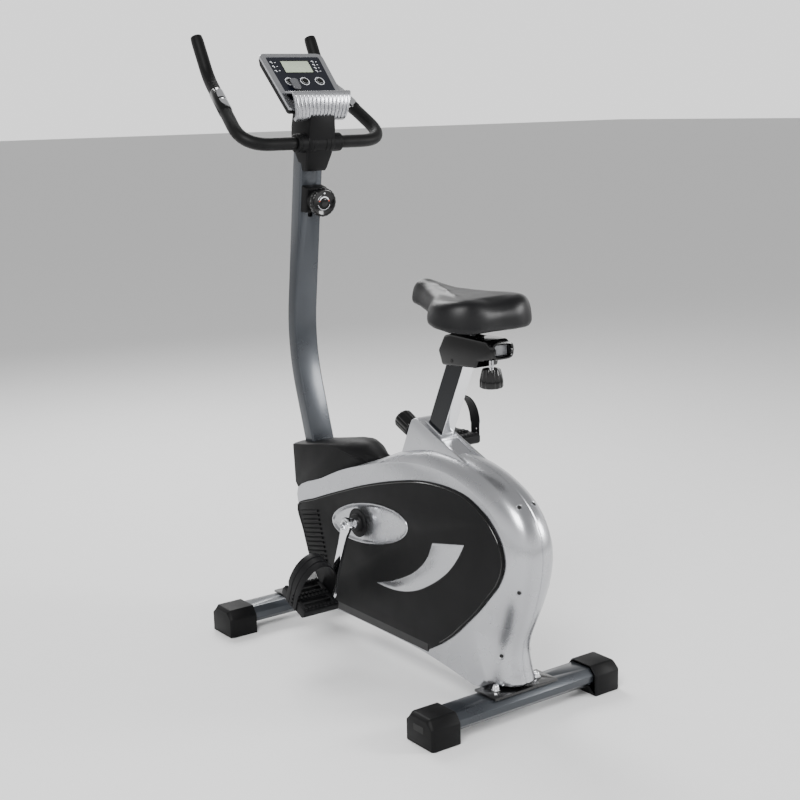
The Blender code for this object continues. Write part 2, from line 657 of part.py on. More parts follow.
def pulleys():
    mid_x = (PULLEY_X[0] + PULLEY_X[1]) / 2.0
    profile = [(0.0, AXLE_R + GAP), (0.0, 0.020), (0.0035, 0.020), (0.0035, PULLEY_R - 0.006),
               (0.0, PULLEY_R - 0.006), (0.0, PULLEY_R), (PULLEY_X[1] - PULLEY_X[0], PULLEY_R),
               (PULLEY_X[1] - PULLEY_X[0], PULLEY_R - 0.006), (0.0095, PULLEY_R - 0.006), (0.0095, 0.020),
               (PULLEY_X[1] - PULLEY_X[0], 0.020), (PULLEY_X[1] - PULLEY_X[0], AXLE_R + GAP)]
    wheel = turned(profile, (PULLEY_X[0], CRANK_Y, CRANK_Z), (1, 0, 0), 40, loop=True)
    add_part("crank_pulley", wheel, "black_plastic", (0, CRANK_Y, CRANK_Z))
    centre = (0, FLYWHEEL_Y, FLYWHEEL_Z)
    bore = FLYWHEEL_AXLE_R + GAP
    rim = [(0.0, FLYWHEEL_R - 0.024), (0.0, FLYWHEEL_R), (0.034, FLYWHEEL_R), (0.034, FLYWHEEL_R - 0.024),
           (0.023, FLYWHEEL_R - 0.024), (0.023, 0.028), (0.034, 0.028), (0.034, bore), (0.0, bore),
           (0.0, 0.028), (0.011, 0.028), (0.011, FLYWHEEL_R - 0.024)]
    add_part("flywheel", turned(rim, (-0.0270, *centre[1:]), (1, 0, 0), 40, loop=True), "cast_iron", centre)
    small = [(0.0, bore), (0.0, 0.015), (0.0195, 0.015), (0.0195, SMALL_PULLEY_R), (0.0370, SMALL_PULLEY_R),
             (0.0370, bore)]
    add_part("flywheel_pulley", turned(small, (0.0075, *centre[1:]), (1, 0, 0), 24, loop=True),
             "steel", centre)
    axle = cylinder_x(*centre[1:], FLYWHEEL_AXLE_R, -0.0385, 0.0510, 16)
    add_part("flywheel_axle", axle, "steel", centre)
    y, z = idler_centre()
    add_part("idler_pulley", ring_x(y, z, 0.0043, IDLER_R, mid_x - 0.008, mid_x + 0.007, 24),
             "grey_plastic", (0, y, z))


def belt():
    """A flat belt round the crank pulley and the flywheel's small pulley."""
    start = Vector((CRANK_Y, CRANK_Z))
    end = Vector((FLYWHEEL_Y, FLYWHEEL_Z))
    along = end - start
    heading = math.atan2(along.y, along.x)
    spread = math.acos((PULLEY_R - SMALL_PULLEY_R) / along.length)

    def outline(extra):
        points = []
        big = PULLEY_R + GAP + extra
        small = SMALL_PULLEY_R + GAP + extra
        sweep = 2.0 * math.pi - 2.0 * spread
        for i in range(33):
            angle = heading + spread + sweep * i / 32
            points.append(start + big * Vector((math.cos(angle), math.sin(angle))))
        for i in range(13):
            angle = heading - spread + 2.0 * spread * i / 12
            points.append(end + small * Vector((math.cos(angle), math.sin(angle))))
        return points

    inner = outline(0.0003)
    outer = outline(BELT_THICKNESS - 0.0003)
    rings = []
    for x, points in ((0.0290, inner), (0.0290, outer), (0.0410, outer), (0.0410, inner)):
        rings.append([(x, p.x, p.y) for p in points])
    add_part("drive_belt", skin(rings, loop=True), "rubber")


def magnet_bracket():
    """A curved carrier of magnets over the flywheel's rear, swinging on a pivot pin."""
    centre = Vector((FLYWHEEL_Y, FLYWHEEL_Z))
    angles = [math.radians(96 + 94 * i / 12) for i in range(13)]
    inner = [centre + 0.1285 * Vector((math.cos(a), math.sin(a))) for a in angles]
    outer = [centre + 0.1380 * Vector((math.cos(a), math.sin(a))) for a in angles]
    outline = [(p.x, p.y) for p in inner + outer[::-1]]
    pivot = Vector(MAGNET_PIVOT)
    bracket = add_part("magnet_bracket", prism(outline, -0.0290, 0.0090), "steel", (0, *MAGNET_PIVOT))
    tail = [(-0.4433, 0.2500), (-0.4530, 0.2500), (pivot.x - 0.0085, pivot.y + 0.006),
            (pivot.x - 0.006, pivot.y - 0.0085), (pivot.x + 0.006, pivot.y - 0.0085),
            (pivot.x + 0.0085, pivot.y + 0.006)]
    change(bracket, "UNION", prism(tail, -0.0290, 0.0090))
    change(bracket, "DIFFERENCE", cylinder_x(*MAGNET_PIVOT, 0.0043, -0.05, 0.05, 12))


CABLE_ROUTE = [(0.0, 0.2630, 1.0000), (0.0, 0.2850, 0.9700), (0.0, 0.3050, 0.8800), (0.0, 0.3180, 0.7600),
               (0.0, 0.3150, 0.6500), (0.0, 0.2930, 0.5500), (0.0, 0.2640, 0.4500), (0.0, 0.2490, 0.4000),
               (0.0, 0.2330, 0.3660), (-0.0020, 0.2080, 0.3490), (-0.0120, 0.1700, 0.3510),
               (-0.0300, 0.1200, 0.3740), (-0.0420, 0.0500, 0.3950), (-0.0450, -0.0400, 0.4080),
               (-0.0450, -0.1400, 0.4180), (-0.0400, -0.2100, 0.4220), (-0.0280, -0.2640, 0.4210),
               (-0.0180, -0.3000, 0.4130)]


def catmull_path(points, steps):
    result = []
    points = [Vector(p) for p in points]
    for i in range(len(points) - 1):
        p0 = points[max(i - 1, 0)]
        p1, p2 = points[i], points[i + 1]
        p3 = points[min(i + 2, len(points) - 1)]
        for k in range(steps):
            t = k / steps
            blend = p1 * 2 + (p2 - p0) * t + (p0 * 2 - p1 * 5 + p2 * 4 - p3) * t * t
            blend += (p1 * 3 - p0 - p2 * 3 + p3) * t ** 3
            result.append(blend * 0.5)
    result.append(points[-1])
    return result


def tension_cable():
    add_part("tension_cable", skin(tube_along(catmull_path(CABLE_ROUTE, 2), 0.0022, 8)), "rubber")


# ---------------------------------------------------------------- housing
# Side-view outlines of a silver cover: at the seam between the halves, and at the flat face.
SEAM_OUTLINE = [(0.290, 0.3390), (0.185, 0.3830), (0.090, 0.4210), (-0.010, 0.4560), (-0.110, 0.4960),
                (-0.200, 0.5180), (-0.270, 0.5200), (-0.340, 0.5110), (-0.403, 0.4950),
                (-0.464, 0.4660), (-0.509, 0.4250), (-0.532, 0.3690), (-0.529, 0.3070),
                (-0.513, 0.2500), (-0.495, 0.2050), (-0.478, 0.1670), (-0.470, 0.1350),
                (-0.474, 0.1000), (-0.478, 0.0700), (-0.410, 0.0690), (-0.400, 0.0560),
                (-0.385, 0.0475), (-0.290, 0.0600), (-0.190, 0.0690), (-0.050, 0.0700),
                (0.080, 0.0700), (0.150, 0.0720), (0.205, 0.1100), (0.245, 0.1800), (0.276, 0.2600)]
FACE_OUTLINE = [(0.284, 0.3360), (0.180, 0.3800), (0.090, 0.4180), (-0.010, 0.4490), (-0.110, 0.4740),
                (-0.185, 0.4840), (-0.240, 0.4870), (-0.300, 0.4840), (-0.360, 0.4700),
                (-0.420, 0.4440), (-0.460, 0.4100), (-0.486, 0.3620), (-0.484, 0.3150),
                (-0.455, 0.2620), (-0.408, 0.2100), (-0.380, 0.1650), (-0.395, 0.1250),
                (-0.412, 0.0950), (-0.418, 0.0740), (-0.410, 0.0720), (-0.398, 0.0590),
                (-0.380, 0.0520), (-0.290, 0.0640), (-0.190, 0.0730), (-0.050, 0.0750),
                (0.080, 0.0750), (0.150, 0.0770), (0.198, 0.1150), (0.238, 0.1820), (0.268, 0.2600)]
PANEL_OUTLINE = [(0.280, 0.2970), (0.208, 0.3270), (0.135, 0.3545), (0.072, 0.3770), (0.011, 0.3980),
                 (-0.066, 0.4210), (-0.142, 0.4405), (-0.198, 0.4520), (-0.249, 0.4580),
                 (-0.310, 0.4590), (-0.365, 0.4515), (-0.415, 0.4305), (-0.443, 0.4110),
                 (-0.470, 0.3800), (-0.481, 0.3450), (-0.477, 0.3150), (-0.460, 0.2840),
                 (-0.432, 0.2526), (-0.407, 0.2242), (-0.376, 0.1939), (-0.359, 0.1790),
                 (-0.322, 0.1450), (-0.283, 0.1170), (-0.244, 0.0930), (-0.210, 0.0790),
                 (-0.130, 0.0765), (0.007, 0.0765), (0.145, 0.0780), (0.190, 0.1100), (0.230, 0.1690),
                 (0.259, 0.2374)]
SHOULDER = [(0.0, 0.0), (0.32, 0.06), (0.62, 0.22), (0.86, 0.52), (1.0, 1.0)]
EYE_CENTRE = (-0.0197, 0.3170)
EYE_RADII = (0.150, 0.047)
EYE_TILT = math.radians(-10.2)
BOSS_HALF_WIDTH = 0.0285


def eye_outline(grow, count=32):
    """The tilted oval round the crank axle."""
    points = []
    for i in range(count):
        angle = 2.0 * math.pi * i / count
        a = (EYE_RADII[0] + grow) * math.cos(angle)
        b = (EYE_RADII[1] + grow) * math.sin(angle)
        points.append((EYE_CENTRE[0] + a * math.cos(EYE_TILT) - b * math.sin(EYE_TILT),
                       EYE_CENTRE[1] + a * math.sin(EYE_TILT) + b * math.cos(EYE_TILT)))
    return points


def cover(name, side):
    """One silver half of the housing: a thin shell with a rounded shoulder."""
    seam = smooth_outline(SEAM_OUTLINE, 2)
    face = smooth_outline(FACE_OUTLINE, 2)
    rings = []
    for out, fall in SHOULDER[::-1]:
        blend = [s.lerp(f, fall) for s, f in zip(seam, face)]
        x = side * (GAP / 2.0 + out * (FACE_X - GAP / 2.0))
        rings.append([(x, p.x, p.y) for p in blend])
    for out, fall in SHOULDER:
        blend = inset_outline([s.lerp(f, fall) for s, f in zip(seam, face)], SHELL_WALL)
        x = side * (GAP / 2.0 + out * (FACE_X - SHELL_WALL - GAP / 2.0))
        rings.append([(x, p.x, p.y) for p in blend])
    shell = add_part(name, skin(rings), "silver_paint")
    low, high = sorted((side * (GAP / 2.0 + 0.0004), side * BOSS_HALF_WIDTH))
    boss_side = [(-0.100, 0.478), (-0.138, 0.560), (-0.150, 0.572), (-0.166, 0.575), (-0.223, 0.5500),
                 (-0.330, 0.5080), (-0.320, 0.4980), (-0.250, 0.4900)]
    change(shell, "UNION", prism(boss_side, low, high))
    inside_low, inside_high = sorted((-side * 0.001, side * (BOSS_HALF_WIDTH - 0.0035)))
    boss_inside = [(-0.115, 0.460), (-0.142, 0.548), (-0.163, 0.560), (-0.215, 0.538), (-0.300, 0.5045),
                   (-0.300, 0.4700)]
    clear = 0.0008
    seat_hole = post_box((-0.30, 0.10), (-SEAT_TUBE_HALF_DEPTH - clear, SEAT_TUBE_HALF_DEPTH + clear),
                         SEAT_TUBE_HALF_WIDTH + clear)
    groove = prism([(-0.222, 0.5455), (-0.318, 0.5060), (-0.330, 0.5300), (-0.222, 0.6000)], -0.0225, 0.0225)
    mast_hole = solid_bar([(*lower_mast_point(-0.14), MAST_LOWER_LEAN),
                           (*lower_mast_point(0.06), MAST_LOWER_LEAN)], MAST_WIDTH + 0.004, MAST_DEPTH + 0.004)
    beam_hole = box((-0.0325, 0.080, 0.060), (0.0325, 0.300, 0.131))
    leg_hole = box((-LEG_HALF - 0.002, REAR_FOOT_Y - 0.009, 0.060), (LEG_HALF + 0.002, REAR_FOOT_Y + 0.023, 0.0795))
    axle_hole = cylinder_x(CRANK_Y, CRANK_Z, 0.020, -0.09, 0.09)
    pin_hole = turned([(0, 0.0125), (0.12, 0.0125)], (0, *post_point(POP_PIN_ALONG, 0.020)),
                      (0, math.cos(POST_LEAN), math.sin(POST_LEAN)), 16)
    change(shell, "DIFFERENCE", prism(boss_inside, inside_low, inside_high), seat_hole, groove, mast_hole,
           beam_hole, leg_hole, axle_hole, pin_hole)


def side_panel(word, side):
    low, high = sorted((side * (FACE_X + GAP), side * (FACE_X + PANEL_THICKNESS)))
    outline = smooth_outline(PANEL_OUTLINE, 2)
    panel = add_part(f"{word}_side_panel", prism([(p.x, p.y) for p in outline], low, high), "black_plastic")
    change(panel, "DIFFERENCE", prism(eye_outline(0.0), -0.1, 0.1))
    edge = eye_outline(-GAP)
    floor = eye_outline(-0.010)
    outer_x = side * (FACE_X + PANEL_THICKNESS + 0.0015)
    base_x = side * (FACE_X + GAP)
    floor_x = side * (FACE_X + 0.0025)
    rings = [[(base_x, y, z) for y, z in edge], [(outer_x, y, z) for y, z in edge],
             [(outer_x, y, z) for y, z in eye_outline(-0.003)], [(floor_x, y, z) for y, z in floor]]
    dish = add_part(f"{word}_crank_dish", skin(rings), "silver_paint")
    change(dish, "DIFFERENCE", cylinder_x(CRANK_Y, CRANK_Z, 0.0130, -0.1, 0.1))


SHROUD_HALF = 0.0515


def mast_shroud():
    """The black hood that closes the housing round the foot of the mast."""
    top = [(0.304, 0.4445), (0.248, 0.453), (0.183, 0.4655), (0.118, 0.480), (0.075, 0.487), (0.040, 0.483),
           (0.004, 0.466)]
    bottom = [(-0.014, 0.4630), (0.040, 0.4440), (0.090, 0.4240), (0.185, 0.3865), (0.288, 0.3430),
              (0.298, 0.3520)]
    inner = [(0.298, 0.440), (0.248, 0.4495), (0.183, 0.4620), (0.118, 0.4765), (0.075, 0.4835),
             (0.042, 0.4795), (0.042, 0.40), (0.200, 0.30), (0.292, 0.34)]

    def narrowing(points, wall):
        return [[(side * (SHROUD_HALF - wall - 0.25 * max(0.0, 0.080 - y)), y, z) for y, z in points]
                for side in (-1, 1)]

    body = add_part("mast_shroud", skin(narrowing(top + [(y, z + 0.0012) for y, z in bottom], 0.0)),
                    "black_plastic")
    change(body, "DIFFERENCE", skin(narrowing(inner, 0.0035)))
    hole = solid_bar([(*lower_mast_point(-0.08), MAST_LOWER_LEAN), (*lower_mast_point(0.08), MAST_LOWER_LEAN)],
                     MAST_WIDTH + 2 * GAP, MAST_DEPTH + 2 * GAP, 0.004)
    change(body, "DIFFERENCE", hole)


# ---------------------------------------------------------------- seat
CHANNEL_Z = (0.7372, 0.7598)
SLIDER_Z = (0.7380, 0.7590)
SLIDER_HALF = 0.0188
STEM_Y = (-0.3180, -0.2880)
KNOB_Y = -0.379


def seat_post():
    wall = 0.0018
    low, high = -0.250, 0.128
    half_d = POST_DEPTH / 2.0
    half_w = POST_WIDTH / 2.0
    rings = []
    for along, inset in ((low, 0.0), (high, 0.0), (high, wall), (low, wall)):
        corners = ((-half_w + inset, -half_d + inset), (half_w - inset, -half_d + inset),
                   (half_w - inset, half_d - inset), (-half_w + inset, half_d - inset))
        rings.append([(x, *post_point(along, across)) for x, across in corners])
    post = add_part("seat_post", skin(rings, loop=True), "chrome")
    forward = (0, math.cos(POST_LEAN), math.sin(POST_LEAN))
    for i in range(7):
        along = POP_PIN_ALONG + 0.030 * (i - 3)
        hole = turned([(0, 0.0055), (0.02, 0.0055)], (0, *post_point(along, 0.012)), forward, 12)
        change(post, "DIFFERENCE", hole)
    outer_d = SEAT_TUBE_HALF_DEPTH - SEAT_TUBE_WALL - GAP
    outer_w = SEAT_TUBE_HALF_WIDTH - SEAT_TUBE_WALL - GAP
    rings = []
    flange = BOSS_TOP - 0.012 + GAP
    steps = ((flange - 0.036, half_w + 0.0005, half_d + 0.0005), (flange - 0.036, outer_w, outer_d),
             (flange, outer_w, outer_d), (flange, outer_w + 0.0024, outer_d + 0.0024),
             (BOSS_TOP + 0.001, outer_w + 0.0024, outer_d + 0.0024),
             (BOSS_TOP + 0.001, half_w + 0.0005, half_d + 0.0005))
    for along, w, d in steps:
        corners = ((-w, -d), (w, -d), (w, d), (-w, d))
        rings.append([(x, *post_point(along, across)) for x, across in corners])
    add_part("post_bushing", skin(rings, loop=True), "grey_plastic")
    knob = [(0.0, 0.0035), (0.004, 0.0050), (0.024, 0.0050), (0.024, 0.0105), (0.0530, 0.0105),
            (0.0530, 0.0205), (0.0585, 0.0222), (0.0930, 0.0222), (0.0985, 0.0185)]
    start = post_point(POP_PIN_ALONG, POST_DEPTH / 2.0 + 0.0006)
    add_part("pop_pin", turned(knob, (0, *start), forward, 20), "gloss_black", (0, *start))


def saddle_carriage():
    outline = [(-0.2435, 0.7330), (-0.2640, 0.7660), (-0.2840, 0.7715), (-0.3980, 0.7690), (-0.4200, 0.7500),
               (-0.4100, 0.7310), (-0.3700, 0.7250), (-0.3650, 0.7100), (-0.2560, 0.7030)]
    body = add_part("saddle_carriage", prism(outline, -0.030, 0.030), "gloss_black")
    channel = box((-SLIDER_HALF - 0.0004, -0.47, CHANNEL_Z[0]), (SLIDER_HALF + 0.0004, -0.2535, CHANNEL_Z[1]))
    slot = box((-0.0130, -0.3510, 0.7550), (0.0130, -0.2560, 0.7900))
    socket = post_box((0.02, 0.1283), (-POST_DEPTH / 2.0 - GAP, POST_DEPTH / 2.0 + GAP), POST_WIDTH / 2.0 + GAP)
    stud = turned([(0, 0.0062), (0.05, 0.0062)], (0, KNOB_Y, 0.700), (0, 0, 1), 16)
    change(body, "DIFFERENCE", channel, slot, socket, stud)
    bar = box((-SLIDER_HALF, -0.4060, SLIDER_Z[0]), (SLIDER_HALF, -0.2850, SLIDER_Z[1]))
    slider = add_part("saddle_slider", bar, "grey_plastic")
    stem = box((-0.0115, STEM_Y[0], 0.7580), (0.0115, STEM_Y[1], 0.7900))
    change(slider, "UNION", stem)
    knob = [(0.0, 0.0225), (0.003, 0.0245), (0.016, 0.0240), (0.0385, 0.0190), (0.0400, 0.0175),
            (0.0400, 0.0058), (0.0665, 0.0058)]
    add_part("slider_knob", turned(knob, (0, KNOB_Y, 0.6690), (0, 0, 1), 20), "gloss_black",
             (0, KNOB_Y, 0.6690))


SADDLE_LOBE_X = 0.045
SADDLE_LOBE_Y = -0.345
SADDLE_LOBE_R = 0.070
SADDLE_NOSE_Y = -0.168
SADDLE_NOSE_R = 0.030


def saddle_outline(shrink):
    """Plan view of the saddle: two rear lobes, a waist and a round nose."""
    right = []
    lobe_r = SADDLE_LOBE_R - shrink
    nose_r = SADDLE_NOSE_R - shrink
    for degrees in (-80, -50, -20, 10, 40):
        a = math.radians(degrees)
        right.append((SADDLE_LOBE_X + lobe_r * math.cos(a), SADDLE_LOBE_Y + lobe_r * math.sin(a)))
    right.append((0.062 - shrink, -0.262))
    right.append((0.043 - shrink, -0.215))
    right.append((0.034 - shrink, -0.190))
    for degrees in (0, 30, 60):
        a = math.radians(degrees)
        right.append((nose_r * math.cos(a), SADDLE_NOSE_Y + nose_r * math.sin(a)))
    left = [(-x, y) for x, y in reversed(right)]
    nose = [(0.0, SADDLE_NOSE_Y + nose_r)]
    tail = [(0.0, SADDLE_LOBE_Y - lobe_r + 0.003)]
    return right + nose + left + tail


def saddle_top(y):
    """Height of the saddle's ridge: a raised nose and a low waist."""
    t = min(max((y + 0.410) / 0.290, 0.0), 1.0)
    return 0.846 + 0.027 * t ** 1.6 - 0.010 * math.sin(math.pi * min(t * 1.25, 1.0))


def saddle_under(y):
    """Height of the cushion's flat underside, which rises towards the nose."""
    return 0.794 + 0.125 * (y + 0.370)


def saddle():
    rings = []
    for shrink, rise in ((0.012, 0.0), (0.001, 0.18), (0.0, 0.50), (0.008, 0.84), (0.022, 0.97)):
        ring = []
        for x, y in saddle_outline(shrink):
            base = saddle_under(y)
            ring.append((x, y, base + (saddle_top(y) - base) * rise))
        rings.append(ring)
    add_part("saddle_cushion", skin(rings), "vinyl")
    plate = [[(x, y, saddle_under(y) + offset) for x, y in saddle_outline(0.020)]
             for offset in (-0.0070, -GAP)]
    pan = add_part("saddle_base", skin(plate), "black_plastic")
    clamp = prism([(-0.3340, 0.7725), (-0.2720, 0.7725), (-0.2720, 0.8010), (-0.3340, 0.7930)], -0.021, 0.021)
    change(pan, "UNION", clamp)
    pocket = box((-0.0118, STEM_Y[0] - GAP, 0.7600), (0.0118, STEM_Y[1] + GAP, 0.7903))
    change(pan, "DIFFERENCE", pocket)


# ---------------------------------------------------------------- mast, handlebar and console
def mast():
    tube = add_part("mast", hollow_bar(mast_stations(), MAST_WIDTH, MAST_DEPTH, 0.0025), "grey_paint")
    y, z = upper_mast_point(1.012, MAST_DEPTH / 2.0)
    change(tube, "DIFFERENCE", box((-0.006, y - 0.010, z - 0.032), (0.006, y + 0.012, z + 0.004)))


def mast_rear_block(low_z, high_z, near, far, half_width):
    """A block against the mast's rear face, between two distances behind it."""
    base = MAST_DEPTH / 2.0
    corners = [upper_mast_point(low_z, base + near), upper_mast_point(high_z, base + near),
               upper_mast_point(high_z, base + far), upper_mast_point(low_z, base + far)]
    return prism(corners, -half_width, half_width)


KNOB_HEIGHT = 1.022


def tension_control():
    body = add_part("tension_housing", mast_rear_block(0.984, 1.061, GAP, 0.022, 0.0285), "black_plastic")
    y, z = upper_mast_point(KNOB_HEIGHT, MAST_DEPTH / 2.0 + 0.018)
    backwards = Vector((0, -math.cos(MAST_UPPER_LEAN), math.sin(MAST_UPPER_LEAN)))
    neck = turned([(0.0, 0.0240), (0.018, 0.0240)], (0, y, z), backwards, 24)
    change(body, "UNION", neck)
    y, z = upper_mast_point(KNOB_HEIGHT, MAST_DEPTH / 2.0 + 0.036 + GAP)
    knob = [(0.0, 0.0310), (0.003, 0.0332), (0.016, 0.0332), (0.021, 0.0305), (0.0215, 0.0250)]
    add_part("tension_knob", turned(knob, (0, y, z), backwards, 32), "gloss_black", (0, y, z))
    passage = box((-0.004, y + 0.020, 0.985), (0.004, y + 0.060, 1.014))
    change(body, "DIFFERENCE", passage)


HORN = [(0.1943, BAR_Y, BAR_Z), (0.1543, 0.4430, 1.2945), (0.1555, 0.4919, 1.3902)]
HORN_CUTS = (0.072, 0.028)


def bar_path():
    left = [(-x, y, z) for x, y, z in reversed(HORN)]
    return rounded_path(left + HORN, (HORN_CUTS[1], HORN_CUTS[0], HORN_CUTS[0], HORN_CUTS[1]))


def half_path(start_x):
    corners = [(start_x, BAR_Y, BAR_Z)] + HORN
    return rounded_path(corners, HORN_CUTS)


def sleeve(path, inner, outer, sides):
    return skin(tube_along(path, outer, sides) + tube_along(path, inner, sides)[::-1], loop=True)


def mirrored(path, side):
    return [Vector((side * p.x, p.y, p.z)) for p in path]


def handlebar():
    axis = (0, BAR_Y, BAR_Z)
    add_part("handlebar", sleeve(bar_path(), BAR_R - BAR_WALL, BAR_R, 12), "black_enamel", axis)
    for word, side in (("left", -1), ("right", 1)):
        path = half_path(0.078)
        path[-1] = path[-1] - (path[-1] - path[-2]).normalized() * 0.0010
        grip = sleeve(mirrored(path, side), BAR_R / math.cos(math.pi / 12) + GAP, GRIP_R, 12)
        add_part(f"{word}_grip", grip, "foam", axis)
        bend = Vector(HORN[1])
        along = (bend - Vector(HORN[0])).normalized()
        ends = [bend - along * d for d in (0.062, 0.120)]
        sensor = sleeve(mirrored(ends, side), GRIP_R / math.cos(math.pi / 16) + GAP, GRIP_R + 0.0024, 16)
        add_part(f"{word}_pulse_sensor", sensor, "chrome", axis)


COLLAR_R = 0.0220


def clamp_cover():
    """The hood over the handlebar clamp: a tapering block with a collar on each side."""
    outline = [(-0.026, 1.070), (0.026, 1.070), (0.035, 1.128), (0.035, 1.172), (0.031, 1.188),
               (-0.031, 1.188), (-0.035, 1.172), (-0.035, 1.128)]

    def layer(low, high):
        ring = []
        for x, z in outline:
            t = (z - 1.070) / 0.118
            ring.append((x, mast_rear_y(z, low + (high - low) * min(1.0, t * 1.5)), z))
        return ring

    hood = add_part("clamp_cover", skin([layer(GAP, GAP), layer(0.020, 0.040)]), "black_plastic")
    for side in (-1, 1):
        low, high = sorted((side * 0.033, side * 0.062))
        change(hood, "UNION", cylinder_x(BAR_Y, BAR_Z, COLLAR_R, low, high))
    change(hood, "DIFFERENCE", cylinder_x(BAR_Y, BAR_Z, BAR_R + GAP, -0.1, 0.1))


BUTTON_X = (-0.040, 0.0, 0.040)
BUTTON_UP = -0.0015
BUTTON_R = 0.0092
LCD_UP = (0.0265, 0.0625)
LCD_HALF = 0.0370
CLIP_X = (-0.0460, -0.0260)


def console():
    half = CONSOLE_HALF_HEIGHT
    rings = []
    for out, grow in ((-CONSOLE_DEPTH, -0.016), (-0.006, 0.0), (0.0, 0.0)):
        corners = [(-0.080, -half), (0.080, -half), (0.0845, half - 0.013), (0.072, half), (-0.072, half),
                   (-0.0845, half - 0.013)]
        ring = []
        for x, up in corners:
            x += math.copysign(1.0, x) * grow
            up += math.copysign(1.0, up) * grow
            ring.append((x, *console_point(up, out)))
        rings.append(ring)
    body = add_part("console_body", skin(rings), "silver_paint")
    top_y, top_z, lean = mast_stations()[-1]
    neck_low = (*upper_mast_point(top_z - 0.035), lean)
    neck_high = (*upper_mast_point(top_z + 0.040), lean)
    neck = solid_bar([neck_low, neck_high], MAST_WIDTH - 0.0058, MAST_DEPTH - 0.0058)
    change(body, "UNION", neck)
    normal = console_normal()
    for x in BUTTON_X:
        well = turned([(0.0, BUTTON_R + GAP), (0.02, BUTTON_R + GAP)],
                      (x, *console_point(BUTTON_UP, -0.0060)), normal, 20)
        change(body, "DIFFERENCE", well)
    change(body, "DIFFERENCE", console_block((LCD_UP[0] - GAP, LCD_UP[1] + GAP), (-0.002, 0.01),
                                             -LCD_HALF - GAP, LCD_HALF + GAP))
    add_part("console_lens", console_block(LCD_UP, (-0.002 + GAP, -0.0002), -LCD_HALF, LCD_HALF), "screen")
    for word, x in zip(("left", "middle", "right"), BUTTON_X):
        start = (x, *console_point(BUTTON_UP, -0.0060 + 0.0022))
        key = turned([(0.0, BUTTON_R), (0.0048, BUTTON_R), (0.0052, BUTTON_R - 0.0006)], start, normal, 20)
        add_part(f"{word}_button", key, "gloss_black", start)


def media_ledge():
    """The ribbed ledge that holds a magazine, and the finger clip that keeps its pages."""
    outer = [(0.2470, 1.2612), (0.2050, 1.2612), (0.2010, 1.2350), (0.2050, 1.2060), (0.2200, 1.1950)]
    inner = [(0.2230, 1.2030), (0.2085, 1.2105), (0.2050, 1.2350), (0.2080, 1.2560), (0.2440, 1.2570)]
    rings = []
    for x in (-1, 1):
        ring = []
        for y, z in outer + inner:
            half = 0.065 + 0.013 * (z - 1.195) / 0.066
            ring.append((x * half, y, z))
        rings.append(ring)
    add_part("media_ledge", skin(rings), "silver_paint")
    hinge_y, hinge_z = console_point(-0.0290, 0.0040)
    finger = console_block((-0.0310, 0.0070), (0.0022, 0.0052), *CLIP_X)
    add_part("media_clip", finger, "grey_plastic", (0, hinge_y, hinge_z))


# ---------------------------------------------------------------- assembly
def build():
    clear_scene()
    bike = bpy.data.objects.new("bike", None)
    bpy.context.scene.collection.objects.link(bike)
    bike.location = (0.0, BIKE_SHIFT_Y, 0.0)

    frame()
    stabiliser("front_stabiliser", FRONT_FOOT_Y)
    stabiliser("rear_stabiliser", REAR_FOOT_Y)
    clamp_bolts("front_clamp_bolts", FRONT_FOOT_Y)
    clamp_bolts("rear_clamp_bolts", REAR_FOOT_Y)
    for word, side in (("left", -1), ("right", 1)):
        foot_cap(f"rear_{word}_foot", REAR_FOOT_Y, side)
        wheel_pocket(foot_cap(f"front_{word}_foot", FRONT_FOOT_Y, side), side)
        transport_wheel(f"{word}_transport_wheel", side)
        crank(f"{word}_crank", side)
        cover(f"{word}_cover", side)
        side_panel(word, side)
    pedal(-1, LEFT_PEDAL_TILT)
    pedal(1, 0.0)
    crank_axle()
    pulleys()
    belt()
    magnet_bracket()
    tension_cable()
    mast_shroud()
    seat_post()
    saddle_carriage()
    saddle()
    mast()
    tension_control()
    handlebar()
    clamp_cover()
    console()
    media_ledge()


build()
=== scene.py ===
"""Looks of the upright exercise bike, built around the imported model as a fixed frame.

Lengths are metres. Side-view shapes are written in bike coordinates, whose zero is on the
floor straight below the crank axle of the frame; at() moves them into the frame.
"""
import json
import math
import bmesh
import bpy
from mathutils import Matrix, Vector

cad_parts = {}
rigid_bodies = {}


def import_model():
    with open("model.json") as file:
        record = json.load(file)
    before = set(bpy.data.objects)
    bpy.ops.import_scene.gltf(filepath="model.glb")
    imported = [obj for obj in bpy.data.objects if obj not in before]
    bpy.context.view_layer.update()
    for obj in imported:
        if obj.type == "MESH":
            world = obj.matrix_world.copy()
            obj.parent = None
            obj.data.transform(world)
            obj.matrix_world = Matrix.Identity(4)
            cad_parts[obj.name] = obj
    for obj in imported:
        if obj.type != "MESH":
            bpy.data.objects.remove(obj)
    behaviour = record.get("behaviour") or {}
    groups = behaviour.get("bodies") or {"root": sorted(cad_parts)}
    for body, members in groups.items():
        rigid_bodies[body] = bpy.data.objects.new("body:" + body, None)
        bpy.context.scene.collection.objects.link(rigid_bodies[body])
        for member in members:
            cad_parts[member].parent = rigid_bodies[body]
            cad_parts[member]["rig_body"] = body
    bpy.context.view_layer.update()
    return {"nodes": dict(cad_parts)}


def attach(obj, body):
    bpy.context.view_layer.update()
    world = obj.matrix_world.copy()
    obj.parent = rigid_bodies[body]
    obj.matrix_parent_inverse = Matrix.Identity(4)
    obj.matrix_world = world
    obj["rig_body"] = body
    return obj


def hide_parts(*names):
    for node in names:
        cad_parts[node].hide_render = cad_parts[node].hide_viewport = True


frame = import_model()
NODES = frame["nodes"]

